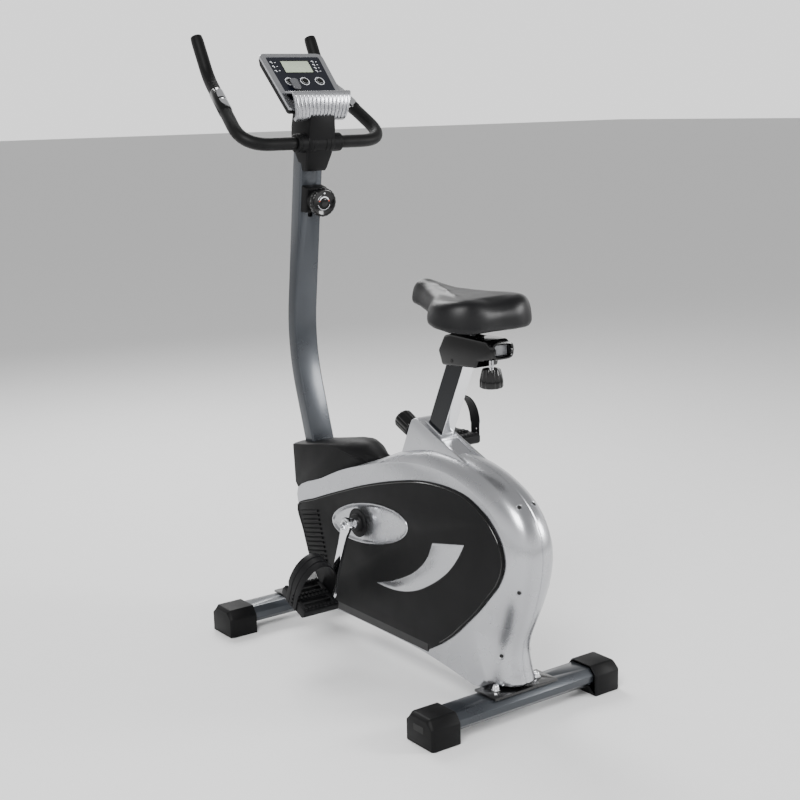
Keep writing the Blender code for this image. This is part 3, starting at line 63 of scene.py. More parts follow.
# ---------------------------------------------------------------- driving dimensions
SHIFT_Y = 0.0146                 # bike coordinates to the frame, along Y
CRANK_Y = 0.017
CRANK_Z = 0.312
CRANK_LENGTH = 0.175
CRANK_ANGLE = math.radians(16.5)
CRANK_FLARE = 0.0135
FACE_X = 0.0545                  # flat side of a silver cover
SHELL_WALL = 0.0026
PANEL_X = 0.0600                 # outer face of a black side panel
POST_LEAN = math.radians(25.5)
POST_BASE = (-0.2308, 0.600)
MAST_LOWER_LEAN = math.radians(17.0)
MAST_UPPER_LEAN = math.radians(-7.8)
MAST_BOTTOM = (0.2570, 0.425)
MAST_BEND_Z = 0.575              # where the bend starts
MAST_BEND_R = 0.470
MAST_TOP_Z = 1.192
BAR_Y = 0.2313
BAR_Z = 1.1466
BAR_R = 0.0125
GRIP_R = 0.0147
CONSOLE_TILT = math.radians(46.0)
CONSOLE_MID = (0.2745, 1.2850)
CONSOLE_HALF = 0.0865
LEFT_PEDAL_TILT = math.radians(22.0)
PEDAL_X = (0.1200, 0.2120)
PEDAL_HALF_LENGTH = 0.048

SEAM_OUTLINE = [(0.290, 0.339), (0.185, 0.383), (0.090, 0.421), (-0.010, 0.456), (-0.110, 0.496),
                (-0.200, 0.518), (-0.270, 0.520), (-0.340, 0.511), (-0.403, 0.495), (-0.464, 0.466),
                (-0.509, 0.425), (-0.532, 0.369), (-0.529, 0.307), (-0.513, 0.250), (-0.495, 0.205),
                (-0.478, 0.167), (-0.470, 0.135), (-0.474, 0.100), (-0.478, 0.070), (-0.410, 0.069),
                (-0.400, 0.056), (-0.385, 0.0475), (-0.290, 0.060), (-0.190, 0.069), (-0.050, 0.070),
                (0.080, 0.070), (0.150, 0.072), (0.205, 0.110), (0.245, 0.180), (0.276, 0.260)]
FACE_OUTLINE = [(0.284, 0.336), (0.180, 0.380), (0.090, 0.418), (-0.010, 0.449), (-0.110, 0.474),
                (-0.185, 0.484), (-0.240, 0.487), (-0.300, 0.484), (-0.360, 0.470), (-0.420, 0.444),
                (-0.460, 0.410), (-0.486, 0.362), (-0.484, 0.315), (-0.455, 0.262), (-0.408, 0.210),
                (-0.380, 0.165), (-0.395, 0.125), (-0.412, 0.095), (-0.418, 0.074), (-0.410, 0.072),
                (-0.398, 0.059), (-0.380, 0.052), (-0.290, 0.064), (-0.190, 0.073), (-0.050, 0.075),
                (0.080, 0.075), (0.150, 0.077), (0.198, 0.115), (0.238, 0.182), (0.268, 0.260)]
PANEL_OUTLINE = [(0.280, 0.297), (0.208, 0.327), (0.135, 0.3545), (0.072, 0.377), (0.011, 0.398),
                 (-0.066, 0.421), (-0.142, 0.4405), (-0.198, 0.452), (-0.249, 0.458), (-0.310, 0.459),
                 (-0.365, 0.4515), (-0.415, 0.4305), (-0.443, 0.411), (-0.470, 0.380), (-0.4815, 0.345),
                 (-0.477, 0.315), (-0.460, 0.284), (-0.4325, 0.2526), (-0.4067, 0.2242), (-0.3755, 0.1939),
                 (-0.3588, 0.179), (-0.3215, 0.145), (-0.2834, 0.117), (-0.2445, 0.093), (-0.210, 0.079),
                 (-0.130, 0.0765), (0.0074, 0.0765), (0.145, 0.078), (0.190, 0.110), (0.230, 0.169),
                 (0.259, 0.2374)]
EYE_CENTRE = (-0.0197, 0.3170)
EYE_RADII = (0.150, 0.047)
EYE_TILT = math.radians(-10.2)
LOUVRE_LEAN = math.radians(-12.4)    # the louvres rise to the rear
WELD = 0.00002                   # points nearer than this are one point
TONE_MM = 60.0                   # width of one slow patch of tone
SIDES = (("left", -1), ("right", 1))


# ---------------------------------------------------------------- materials
def colour(hex_text):
    """An sRGB hex colour as linear RGBA."""
    values = [int(hex_text[i:i + 2], 16) / 255.0 for i in (1, 3, 5)]
    linear = [v / 12.92 if v <= 0.04045 else ((v + 0.055) / 1.055) ** 2.4 for v in values]
    return (*linear, 1.0)


def add_node(tree, kind, settings=None, inputs=None, links=None):
    """Add a node with its settings, its constant inputs and the sockets linked into it."""
    node = tree.nodes.new(kind)
    for name, value in (settings or {}).items():
        setattr(node, name, value)
    for name, value in (inputs or {}).items():
        node.inputs[name].default_value = value
    for name, socket in (links or {}).items():
        tree.links.new(socket, node.inputs[name])
    return node


def finish_of(name, base, second, metallic, roughness, spread, grain_mm, bump_mm, slot=None,
              stretch=(1.0, 1.0, 1.0), **sockets):
    """A surface with a slow change of tone, an uneven gloss and a fine grain.

    base and second are the ends of the tone, spread the change in roughness, grain_mm the
    width of one grain and bump_mm its depth.
    """
    material = bpy.data.materials.new(name)
    material.use_nodes = True
    tree = material.node_tree
    shader = tree.nodes["Principled BSDF"]
    place = add_node(tree, "ShaderNodeTexCoord")
    where = add_node(tree, "ShaderNodeMapping", inputs={"Scale": stretch},
                     links={"Vector": place.outputs["Object"]})
    slow = add_node(tree, "ShaderNodeTexNoise", inputs={"Scale": 1000.0 / TONE_MM, "Detail": 3.0},
                    links={"Vector": where.outputs["Vector"]})
    tone = add_node(tree, "ShaderNodeMix", {"data_type": "RGBA"}, links={0: slow.outputs["Fac"]})
    tone.inputs[6].default_value = colour(base)
    tone.inputs[7].default_value = colour(second)
    fine = add_node(tree, "ShaderNodeTexNoise", inputs={"Scale": 1000.0 / grain_mm, "Detail": 2.0},
                    links={"Vector": where.outputs["Vector"]})
    gloss = add_node(tree, "ShaderNodeMapRange",
                     inputs={"From Min": 0.3, "From Max": 0.7, "To Min": max(0.02, roughness - spread),
                             "To Max": roughness + spread}, links={"Value": slow.outputs["Fac"]})
    bump = add_node(tree, "ShaderNodeBump", inputs={"Strength": 1.0, "Distance": bump_mm / 1000.0},
                    links={"Height": fine.outputs["Fac"]})
    tree.links.new(tone.outputs[2], shader.inputs["Base Color"])
    tree.links.new(gloss.outputs["Result"], shader.inputs["Roughness"])
    tree.links.new(bump.outputs["Normal"], shader.inputs["Normal"])
    shader.inputs["Metallic"].default_value = metallic
    for socket, value in sockets.items():
        shader.inputs[socket.replace("_", " ")].default_value = value
    material["slot"] = slot or name
    return material


FINISH = {
    # Moulded ABS under satin metallic lacquer: a soft, broad silver sheen with faint flake.
    "silver": finish_of("silver lacquered ABS", "#aeafb3", "#b5b6b9", 0.92, 0.27, 0.02, 0.7, 0.0006,
                        "silver_plastic", Coat_Weight=0.25, Coat_Roughness=0.18),
    # Moulded ABS with a fine spark texture: even dark grey that never mirrors.
    "panel": finish_of("textured black ABS", "#09090a", "#0d0d0e", 0.0, 0.5, 0.05, 0.8, 0.03, "black_plastic",
                       Specular_IOR_Level=0.14),
    # The same moulding on its sloped lower border, a touch smoother, and coloured a touch lighter as a painted
    # reflection of the floor.
    "border": finish_of("smooth black ABS", "#0d0d0e", "#111112", 0.0, 0.40, 0.04, 0.8, 0.01, "black_plastic",
                        Specular_IOR_Level=0.3),
    # The same moulding polished along its raised border: a thin bright line.
    "bead": finish_of("polished black ABS", "#030303", "#060606", 0.0, 0.14, 0.03, 3.0, 0.005, "black_plastic"),
    # Polished nylon: deep black with clear reflections.
    "gloss": finish_of("polished black nylon", "#030303", "#060607", 0.0, 0.16, 0.05, 4.0, 0.01, "gloss_black",
                       Specular_IOR_Level=0.25, Coat_Weight=0.25, Coat_Roughness=0.08),
    # Metallic gunmetal powder coat on rolled steel: slight orange peel.
    "gunmetal": finish_of("gunmetal powder coat", "#35383d", "#3c4045", 0.6, 0.3, 0.04, 1.6, 0.03, "grey_paint",
                          Coat_Weight=0.35, Coat_Roughness=0.15),
    # Gloss black powder coat on bent tube.
    "enamel": finish_of("black powder coat", "#070708", "#0c0c0d", 0.1, 0.28, 0.04, 1.6, 0.02, "black_enamel",
                        Coat_Weight=0.3, Coat_Roughness=0.12),
    # Bright chrome plate: near mirror with faint haze.
    "chrome": finish_of("chrome plate", "#dcdde0", "#e6e7e9", 1.0, 0.09, 0.03, 5.0, 0.004, "chrome"),
    # Turned and ground steel: fine lines round the part.
    "steel": finish_of("ground steel", "#8f9093", "#a2a3a6", 1.0, 0.32, 0.06, 0.5, 0.01, "steel",
                       stretch=(6.0, 1.0, 1.0)),
    # Cast iron, turned on its faces: dull grey with open grain.
    "iron": finish_of("turned cast iron", "#3d3d40", "#4b4b4e", 0.8, 0.5, 0.08, 0.9, 0.06, "cast_iron"),
    # Closed-cell foam sleeve: soft black with visible cells.
    "foam": finish_of("closed-cell foam", "#050506", "#090909", 0.0, 0.5, 0.08, 1.3, 0.1, "foam",
                      Specular_IOR_Level=0.18, Sheen_Weight=0.04, Sheen_Roughness=0.5),
    # PVC vinyl over foam: satin black with a shallow hide grain.
    "vinyl": finish_of("black vinyl", "#08080a", "#0d0d0f", 0.0, 0.4, 0.05, 1.1, 0.04, "vinyl",
                       Specular_IOR_Level=0.25, Coat_Weight=0.05, Coat_Roughness=0.35),
    # Moulded rubber: dull black.
    "rubber": finish_of("black rubber", "#080809", "#0e0e10", 0.0, 0.5, 0.08, 0.9, 0.06, "rubber",
                        Specular_IOR_Level=0.18),
    # Painted reflection: a deep navy-black gloss down the sides of the seat post, coloured dark to stand for
    # the dark reflection in the chrome there.
    "chrome painted dark reflection": finish_of("black chrome plate", "#04060a", "#07090e", 0.0, 0.14, 0.03, 5.0, 0.004, "chrome",
                             Specular_IOR_Level=0.3),
    # Smoke-grey nylon.
    "grey": finish_of("grey nylon", "#6c6d70", "#7b7c7f", 0.0, 0.4, 0.06, 1.0, 0.03, "grey_plastic"),
    # Smoke-grey clear acrylic, as a finger that lets some light through.
    "smoke": finish_of("smoked acrylic", "#5d5e62", "#6d6e72", 0.0, 0.2, 0.04, 4.0, 0.01, "grey_plastic",
                       Transmission_Weight=0.35, Coat_Weight=0.3),
    # Liquid crystal glass over a reflector: grey-green, unlit.
    "display": finish_of("liquid crystal glass", "#a5b09b", "#aeb8a5", 0.0, 0.18, 0.03, 6.0, 0.002, "screen",
                         Coat_Weight=0.5, Coat_Roughness=0.05),
    # Screen-printed polycarbonate face: navy black, low gloss.
    "face": finish_of("printed dark face", "#060914", "#0a0d1a", 0.0, 0.32, 0.05, 0.9, 0.01, "black_plastic"),
    # White ink on the dark face.
    "ink": finish_of("white ink", "#dfe1e6", "#eceef2", 0.0, 0.5, 0.05, 2.0, 0.002, "silver_plastic"),
    # Red-orange ink on the dial.
    "red ink": finish_of("red ink", "#b5432a", "#c04c30", 0.0, 0.5, 0.05, 2.0, 0.002, "gloss_black"),
    # Painted shade: near-black colour standing for the shade inside holes and recesses.
    "recess": finish_of("recess", "#020202", "#040404", 0.0, 0.7, 0.05, 2.0, 0.01, "black_plastic"),
}


# ---------------------------------------------------------------- making and placing
def at(x, y, z):
    return Vector((x, y + SHIFT_Y, z))


def merged(bm):
    """Weld a mesh's coincident points and turn its faces outwards."""
    bmesh.ops.remove_doubles(bm, verts=bm.verts, dist=WELD)
    bmesh.ops.recalc_face_normals(bm, faces=bm.faces)
    return bm


def place(name, bm, finish, body, nodes=(), sharp=35.0):
    """Make a finished piece from a mesh in the frame, riding on a body."""
    obj = loose(name, bm)
    obj.data.shade_smooth()
    obj.data.set_sharp_from_angle(angle=math.radians(sharp))
    return dress(obj, finish, body, nodes)


def dress(obj, finish, body, nodes=()):
    material = FINISH[finish]
    obj.data.materials.clear()
    obj.data.materials.append(material)
    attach(obj, body)
    if nodes:
        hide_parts(*nodes)
    return obj


def baked(obj, sharp=35.0):
    """Turn an object's modifiers into plain mesh."""
    bpy.context.view_layer.update()
    graph = bpy.context.evaluated_depsgraph_get()
    mesh = bpy.data.meshes.new_from_object(obj.evaluated_get(graph))
    obj.modifiers.clear()
    obj.data = mesh
    mesh.shade_smooth()
    mesh.set_sharp_from_angle(angle=math.radians(sharp))
    return obj


def loose(name, bm, merge=True):
    """A mesh object that isn't dressed yet."""
    name = name.replace(" ", "_")
    if merge:
        merged(bm)
    mesh = bpy.data.meshes.new(name)
    bm.to_mesh(mesh)
    bm.free()
    obj = bpy.data.objects.new(name, mesh)
    bpy.context.scene.collection.objects.link(obj)
    return obj


def rounded(obj, width, segments=3, limit=30.0):
    """Round an object's edges off and bake the result."""
    bevel = obj.modifiers.new("edges", "BEVEL")
    bevel.width = width
    bevel.segments = segments
    bevel.limit_method = "ANGLE"
    bevel.angle_limit = math.radians(limit)
    bevel.harden_normals = False
    return baked(obj, 40.0)


def cut(obj, *shapes, operation="DIFFERENCE"):
    """Cut shapes out of an object, or keep only what lies inside them."""
    tools = [loose(f"{obj.name} tool", bm) for bm in shapes]
    for tool in tools:
        modifier = obj.modifiers.new("cut", "BOOLEAN")
        modifier.operation = operation
        modifier.object = tool
    baked(obj)
    for tool in tools:
        bpy.data.objects.remove(tool, do_unlink=True)
    return obj


def carried(node, finish, width):
    """A CAD node carried over with its facets merged, its edges rounded and its finish."""
    bm = bmesh.new()
    bm.from_mesh(NODES[node].data)
    bmesh.ops.remove_doubles(bm, verts=bm.verts, dist=0.000002)
    bmesh.ops.dissolve_limit(bm, angle_limit=math.radians(0.6), verts=bm.verts, edges=bm.edges)
    obj = loose(node, bm)
    rounded(obj, width, 2)
    return dress(obj, finish, NODES[node]["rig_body"], [node])


def skin(rings, loop=False):
    """Join rings of equal point counts; the ends are capped, or meet when loop is set."""
    bm = bmesh.new()
    rows = [[bm.verts.new(point) for point in ring] for ring in rings]
    pairs = list(zip(rows[:-1], rows[1:]))
    if loop:
        pairs.append((rows[-1], rows[0]))
    for low, high in pairs:
        for i in range(len(low)):
            j = (i + 1) % len(low)
            bm.faces.new((low[i], low[j], high[j], high[i]))
    if not loop:
        bm.faces.new(rows[0][::-1])
        bm.faces.new(rows[-1])
    return bm


def gather(target, source):
    """Add one mesh to another and free it."""
    mesh = bpy.data.meshes.new("part")
    source.to_mesh(mesh)
    source.free()
    target.from_mesh(mesh)
    bpy.data.meshes.remove(mesh)


def prism(profile, low_x, high_x):
    """A side-view outline in bike coordinates, extruded along X."""
    return skin([[at(x, y, z) for y, z in profile] for x in (low_x, high_x)])


def circle(centre, normal, radius, sides, phase=0.0):
    normal = Vector(normal).normalized()
    up = Vector((0, 0, 1))
    first = up - normal * up.dot(normal)
    if first.length < 0.01:
        first = Vector((0, 1, 0)) - normal * normal.y
    first.normalize()
    second = normal.cross(first)
    steps = [2.0 * math.pi * i / sides + phase for i in range(sides)]
    return [Vector(centre) + radius * (first * math.cos(a) + second * math.sin(a)) for a in steps]


def turned(profile, start, normal, sides=48, loop=False):
    """Turn (distance, radius) points about a line; start is in the frame."""
    normal = Vector(normal).normalized()
    return skin([circle(Vector(start) + normal * s, normal, r, sides) for s, r in profile], loop)


def fluted(profile, start, normal, flutes, depth, sides_each=8):
    """Turned points with finger flutes round them; each point is (distance, radius, flute share)."""
    start = Vector(start)
    normal = Vector(normal).normalized()
    rings = []
    for s, r, share in profile:
        ring = circle(start + normal * s, normal, 1.0, flutes * sides_each)
        middle = start + normal * s
        for i, point in enumerate(ring):
            wave = (i % sides_each) / sides_each
            dip = math.exp(-((wave - 0.5) / 0.19) ** 2)
            ring[i] = middle + (point - middle) * (r - depth * share * dip)
        rings.append(ring)
    return skin(rings)


def sweep(points, radius, sides=24, closed=False):
    """Rings of a round bar along a path, twist-free."""
    points = [Vector(p) for p in points]
    rings = []
    side = None
    count = len(points)
    for i, point in enumerate(points):
        ahead = points[(i + 1) % count] if closed else points[min(i + 1, count - 1)]
        behind = points[i - 1] if closed else points[max(i - 1, 0)]
        normal = (ahead - behind).normalized()
        if side is None:
            side = Vector((1, 0, 0)) - normal * normal.x
            if side.length < 0.1:
                side = normal.orthogonal()
        side = (side - normal * side.dot(normal)).normalized()
        other = normal.cross(side)
        steps = [2.0 * math.pi * k / sides for k in range(sides)]
        r = radius(i / max(count - 1, 1)) if callable(radius) else radius
        rings.append([point + r * (side * math.cos(a) + other * math.sin(a)) for a in steps])
    return rings


def rounded_path(corners, cuts, steps=12):
    corners = [Vector(c) for c in corners]
    path = [corners[0]]
    for i, reach in enumerate(cuts, start=1):
        before = corners[i] + (corners[i - 1] - corners[i]).normalized() * reach
        after = corners[i] + (corners[i + 1] - corners[i]).normalized() * reach
        for k in range(steps + 1):
            t = k / steps
            path.append(before * (1 - t) ** 2 + corners[i] * (2 * t * (1 - t)) + after * t ** 2)
    path.append(corners[-1])
    return path


def curve_through(points, steps, closed=True):
    """A Catmull-Rom curve through points of any dimension."""
    result = []
    count = len(points)
    last = count if closed else count - 1
    for i in range(last):
        picks = [(i + k) % count if closed else min(max(i + k, 0), count - 1) for k in (-1, 0, 1, 2)]
        p0, p1, p2, p3 = (Vector(points[k]) for k in picks)
        for k in range(steps):
            t = k / steps
            a = p1 * 2.0 + (p2 - p0) * t
            a += (p0 * 2.0 - p1 * 5.0 + p2 * 4.0 - p3) * t * t + (p1 * 3.0 - p0 - p2 * 3.0 + p3) * t ** 3
            result.append(a * 0.5)
    if not closed:
        result.append(Vector(points[-1]))
    return result


def inset(points, distance):
    """Move a closed side-view outline inwards."""
    count = len(points)
    area = sum(points[i].x * points[(i + 1) % count].y - points[(i + 1) % count].x * points[i].y
               for i in range(count))
    turn = 1.0 if area > 0 else -1.0
    moved = []
    for i in range(count):
        along = (points[(i + 1) % count] - points[i - 1]).normalized()
        moved.append(points[i] + Vector((-along.y, along.x)) * (distance * turn))
    return moved


def repeat_tree(name):
    """Geometry Nodes that set copies of a piece out along a step."""
    tree = bpy.data.node_groups.new(name, "GeometryNodeTree")
    face = tree.interface
    face.new_socket("Geometry", in_out="OUTPUT", socket_type="NodeSocketGeometry")
    face.new_socket("Piece", in_out="INPUT", socket_type="NodeSocketObject")
    face.new_socket("Count", in_out="INPUT", socket_type="NodeSocketInt")
    face.new_socket("Start", in_out="INPUT", socket_type="NodeSocketVector")
    face.new_socket("Step", in_out="INPUT", socket_type="NodeSocketVector")
    face.new_socket("Finish", in_out="INPUT", socket_type="NodeSocketMaterial")
    ins = add_node(tree, "NodeGroupInput")
    outs = add_node(tree, "NodeGroupOutput")
    line = add_node(tree, "GeometryNodeMeshLine",
                    links={"Count": ins.outputs["Count"], "Start Location": ins.outputs["Start"],
                           "Offset": ins.outputs["Step"]})
    info = add_node(tree, "GeometryNodeObjectInfo", links={"Object": ins.outputs["Piece"]})
    copies = add_node(tree, "GeometryNodeInstanceOnPoints",
                      links={"Points": line.outputs["Mesh"], "Instance": info.outputs["Geometry"]})
    real = add_node(tree, "GeometryNodeRealizeInstances", links={"Geometry": copies.outputs["Instances"]})
    paint = add_node(tree, "GeometryNodeSetMaterial",
                     links={"Geometry": real.outputs["Geometry"], "Material": ins.outputs["Finish"]})
    tree.links.new(paint.outputs["Geometry"], outs.inputs["Geometry"])
    return tree


REPEAT = repeat_tree("set out copies")


def repeated(name, bm, finish, body, count, start, step):
    """Copies of a small piece, modelled round its own origin, as one plain mesh."""
    piece = loose(f"{name} one", bm)
    holder = loose(name, bmesh.new(), False)
    modifier = holder.modifiers.new("copies", "NODES")
    modifier.node_group = REPEAT
    values = {"Piece": piece, "Count": count, "Start": tuple(start), "Step": tuple(step),
              "Finish": FINISH[finish]}
    for socket in REPEAT.interface.items_tree:
        if socket.item_type == "SOCKET" and socket.name in values:
            modifier[socket.identifier] = values[socket.name]
    baked(holder)
    bpy.data.objects.remove(piece, do_unlink=True)
    dress(holder, finish, body)


def post_point(along, across=0.0):
    y = POST_BASE[0] - along * math.sin(POST_LEAN) + across * math.cos(POST_LEAN)
    z = POST_BASE[1] + along * math.cos(POST_LEAN) + across * math.sin(POST_LEAN)
    return (y, z)


def post_box(along, across, half_width):
    corners = [(along[0], across[0]), (along[1], across[0]), (along[1], across[1]), (along[0], across[1])]
    return prism([post_point(a, c) for a, c in corners], -half_width, half_width)


def mast_point(distance, across=0.0):
    y = MAST_BOTTOM[0] + distance * math.sin(MAST_LOWER_LEAN) + across * math.cos(MAST_LOWER_LEAN)
    z = MAST_BOTTOM[1] + distance * math.cos(MAST_LOWER_LEAN) - across * math.sin(MAST_LOWER_LEAN)
    return (y, z)


def console_point(up, out=0.0):
    y = CONSOLE_MID[0] + up * math.cos(CONSOLE_TILT) - out * math.sin(CONSOLE_TILT)
    z = CONSOLE_MID[1] + up * math.sin(CONSOLE_TILT) + out * math.cos(CONSOLE_TILT)
    return (y, z)


def on_console(x, up, out=0.0):
    return at(x, *console_point(up, out))


CONSOLE_NORMAL = Vector((0.0, -math.sin(CONSOLE_TILT), math.cos(CONSOLE_TILT)))
REARWARD = Vector((0.0, -math.cos(MAST_UPPER_LEAN), math.sin(MAST_UPPER_LEAN)))


# ---------------------------------------------------------------- housing
def shoulder(out):
    """How far a cover's section has fallen from seam to face at a share of its width."""
    return 0.35 * max(out, 0.0) ** 2.0 + 0.65 * max(out, 0.0) ** 4.0


def eye_outline(grow, count=72):
    points = []
    for i in range(count):
        angle = 2.0 * math.pi * i / count
        a = (EYE_RADII[0] + grow) * math.cos(angle)
        b = (EYE_RADII[1] + grow) * math.sin(angle)
        points.append((EYE_CENTRE[0] + a * math.cos(EYE_TILT) - b * math.sin(EYE_TILT),
                       EYE_CENTRE[1] + a * math.sin(EYE_TILT) + b * math.cos(EYE_TILT)))
    return points


def cover(word, side):
    """One silver half of the housing, with a lipped seam and a rounded shoulder."""
    seam = curve_through(SEAM_OUTLINE, 4)
    face = curve_through(FACE_OUTLINE, 4)
    shares = [0.0, 0.02, 0.045, 0.12, 0.22, 0.34, 0.46, 0.57, 0.67, 0.76, 0.84, 0.905, 0.955, 0.985, 1.0]
    rings = []
    for out in shares[::-1]:
        outline = [s.lerp(f, shoulder(out)) for s, f in zip(seam, face)]
        lip = 0.0012 if out < 0.03 else 0.0
        if lip:
            outline = inset(outline, lip)
        rings.append([at(side * (0.0002 + out * (FACE_X - 0.0002)), p.x, p.y) for p in outline])
    for out in shares[2:]:
        outline = inset([s.lerp(f, shoulder(out)) for s, f in zip(seam, face)], SHELL_WALL + 0.0012)
        x = 0.0002 if out < 0.05 else out * (FACE_X - SHELL_WALL)
        rings.append([at(side * x, p.x, p.y) for p in outline])
    shell = loose(f"{word} cover", skin(rings))
    clear = 0.0008
    seat_hole = post_box((-0.36, 0.10), (-0.0305 - clear, 0.0305 + clear), 0.0205 + clear)
    mast_hole = prism([mast_point(-0.14, -0.021), mast_point(-0.14, 0.021), mast_point(0.06, 0.021),
                       mast_point(0.06, -0.021)], -0.032, 0.032)
    beam_hole = prism([(0.080, 0.060), (0.300, 0.060), (0.300, 0.131), (0.080, 0.131)], -0.0325, 0.0325)
    leg_hole = prism([(-0.458, 0.060), (-0.426, 0.060), (-0.426, 0.0795), (-0.458, 0.0795)], -0.024, 0.024)
    axle_hole = turned([(0.0, 0.020), (0.2, 0.020)], at(-0.1, CRANK_Y, CRANK_Z), (1, 0, 0), 32)
    cut(shell, seat_hole, mast_hole, beam_hole, leg_hole, axle_hole)
    return dress(shell, "silver", "base", [f"{word}_cover"])


SCREW_PLACES = [(-0.4988, 0.4525), (-0.4927, 0.2789), (-0.4370, 0.1296)]   # on the plane X = 30 mm
SCREW_AIM = Vector((0.571, 0.794, -0.206))      # the way a left-hand cover's screws are driven


def cover_screws(word, side, shell):
    """Countersunk screws down the rear of a cover, each in a pale dished recess, their heads coloured near
    black as painted shade in the holes.
    """
    cups = bmesh.new()
    heads = bmesh.new()
    for y, z in SCREW_PLACES:
        aim = Vector((-side * SCREW_AIM.x, SCREW_AIM.y, SCREW_AIM.z))
        hit, point, normal, _ = shell.ray_cast(at(side * 0.03, y, z) - aim * 0.2, aim)
        if not hit:
            continue
        cup = turned([(-0.0030, 0.0040), (-0.0002, 0.0046), (0.0005, 0.0058), (0.0002, 0.0074),
                      (-0.0020, 0.0074)], point, normal, 24)
        head = turned([(-0.0020, 0.0043), (0.0004, 0.0043), (0.0005, 0.0036)], point, normal, 20)
        for target, source in ((cups, cup), (heads, head)):
            gather(target, source)
    place(f"{word} cover screw cups", cups, "silver", "base")
    # The screw heads take the near-black finish: painted shade in the screw holes.
    place(f"{word} cover screws", heads, "recess", "base")


def seat_boss():
    """The raised collar that the seat post comes out of, with a rim along each side."""
    side_view = [(-0.100, 0.478), (-0.1375, 0.558), (-0.144, 0.569), (-0.155, 0.575), (-0.170, 0.5735),
                 (-0.223, 0.5500), (-0.330, 0.5080), (-0.320, 0.4980), (-0.250, 0.4900)]
    boss = loose("seat collar", prism(side_view, -0.0285, 0.0285))
    groove = prism([(-0.240, 0.5385), (-0.318, 0.5055), (-0.340, 0.5300), (-0.236, 0.5800)], -0.0215, 0.0215)
    hollow = post_box((-0.30, -0.0565), (-0.0305 - 0.0008, 0.0305 + 0.0008), 0.0213)
    mouth = post_box((-0.06, 0.05), (-0.0262, 0.0262), 0.0162)
    pin = turned([(0.0, 0.0125), (0.12, 0.0125)], at(0, *post_point(-0.105, 0.020)),
                 (0, math.cos(POST_LEAN), math.sin(POST_LEAN)), 24)
    cut(boss, groove)
    rounded(boss, 0.0028, 4, 25.0)
    cut(boss, hollow, mouth, pin)
    dress(boss, "silver", "base")


def side_panel(word, side):
    """The black side panel: bevelled edge, sloped lower border, polished bead and louvres."""
    outline = curve_through(PANEL_OUTLINE, 4)
    low, high = sorted((side * (FACE_X + 0.0003), side * PANEL_X))
    panel = loose(f"{word} side panel", prism([(p.x, p.y) for p in outline], low, high))
    bm = bmesh.new()
    bm.from_mesh(panel.data)
    edge = at(side * PANEL_X, 0.0, 0.0990)
    slope = Vector((side * 0.95, 0.0, -0.30)).normalized()
    trimmed = bmesh.ops.bisect_plane(bm, geom=bm.verts[:] + bm.edges[:] + bm.faces[:], plane_co=edge,
                                     plane_no=slope, clear_outer=True)
    rim = [e for e in trimmed["geom_cut"] if isinstance(e, bmesh.types.BMEdge)]
    bmesh.ops.edgeloop_fill(bm, edges=rim)
    bm.normal_update()
    bm.to_mesh(panel.data)
    bm.free()
    cut(panel, prism(eye_outline(0.0), -0.1, 0.1))
    rounded(panel, 0.0011, 3, 30.0)
    dress(panel, "panel", "base", [f"{word}_side_panel"])
    # The sloped lower border is coloured lighter than the panel as a painted reflection of the floor.
    border = []
    for y in (-0.2240, -0.1300, 0.0074, 0.1320):
        drop = 0.006 if y == -0.2240 else 0.0
        corners = ((0.0002, drop, 0.0985), (0.0046, 0.0, 0.0772), (0.0060, 0.0, 0.0772), (0.0060, drop, 0.0985))
        border.append([at(side * (PANEL_X - back), y - down, z) for back, down, z in corners])
    place(f"{word} panel border", skin(border), "border", "base")
    inner = [p for p in inset(outline, 0.0042) if p.y > 0.108]
    start = max(range(len(inner)), key=lambda i: (inner[i] - inner[i - 1]).length)
    inner = inner[start:] + inner[:start]
    bead = skin(sweep([at(side * (PANEL_X + 0.0001), p.x, p.y) for p in inner], 0.0012, 10))
    place(f"{word} panel bead", bead, "bead", "base")
    blade = skin([[Vector((side * x, y, z)) for x, z in
                   ((-0.0008, 0.0034), (0.0012, 0.0028), (0.0040, -0.0006), (0.0034, -0.0022),
                    (-0.0008, -0.0030))] for y in (-0.0370, -0.0345, 0.0330, 0.0350)])
    bmesh.ops.rotate(blade, verts=blade.verts, cent=(0, 0, 0), matrix=Matrix.Rotation(LOUVRE_LEAN, 3, "X"))
    top = at(side * PANEL_X, 0.2250, 0.2930)
    bottom = at(side * PANEL_X, 0.1900, 0.1690)
    repeated(f"{word} louvres", blade, "panel", "base", 13, top, (bottom - top) / 12.0)


def crescent(word, side):
    """The silver crescent on a panel, with a thin dark edge round it."""
    outer = [(-0.3600, 0.3492), (-0.3395, 0.3170), (-0.3116, 0.2843), (-0.2780, 0.2565), (-0.2418, 0.2332),
             (-0.2020, 0.2120), (-0.1614, 0.1975), (-0.1250, 0.1900), (-0.0950, 0.1871), (-0.0453, 0.1868)]
    inner = [(-0.1033, 0.2055), (-0.1634, 0.2326), (-0.2075, 0.2620), (-0.2367, 0.2937), (-0.2537, 0.3278)]
    points = [Vector(p) for p in curve_through(outer, 4, closed=False)]
    points += curve_through(inner, 4, closed=False)
    for name, grow, finish, top in (("edge", 0.0016, "bead", 0.0003), ("plate", 0.0, "silver", 0.0009)):
        shape = inset([Vector(p) for p in points], -grow) if grow else points
        low, high = sorted((side * (PANEL_X - 0.0006), side * (PANEL_X + top)))
        piece = loose(f"{word} crescent {name}", prism([(p.x, p.y) for p in shape], low, high))
        rounded(piece, 0.0003, 2, 40.0)
        dress(piece, finish, "base")


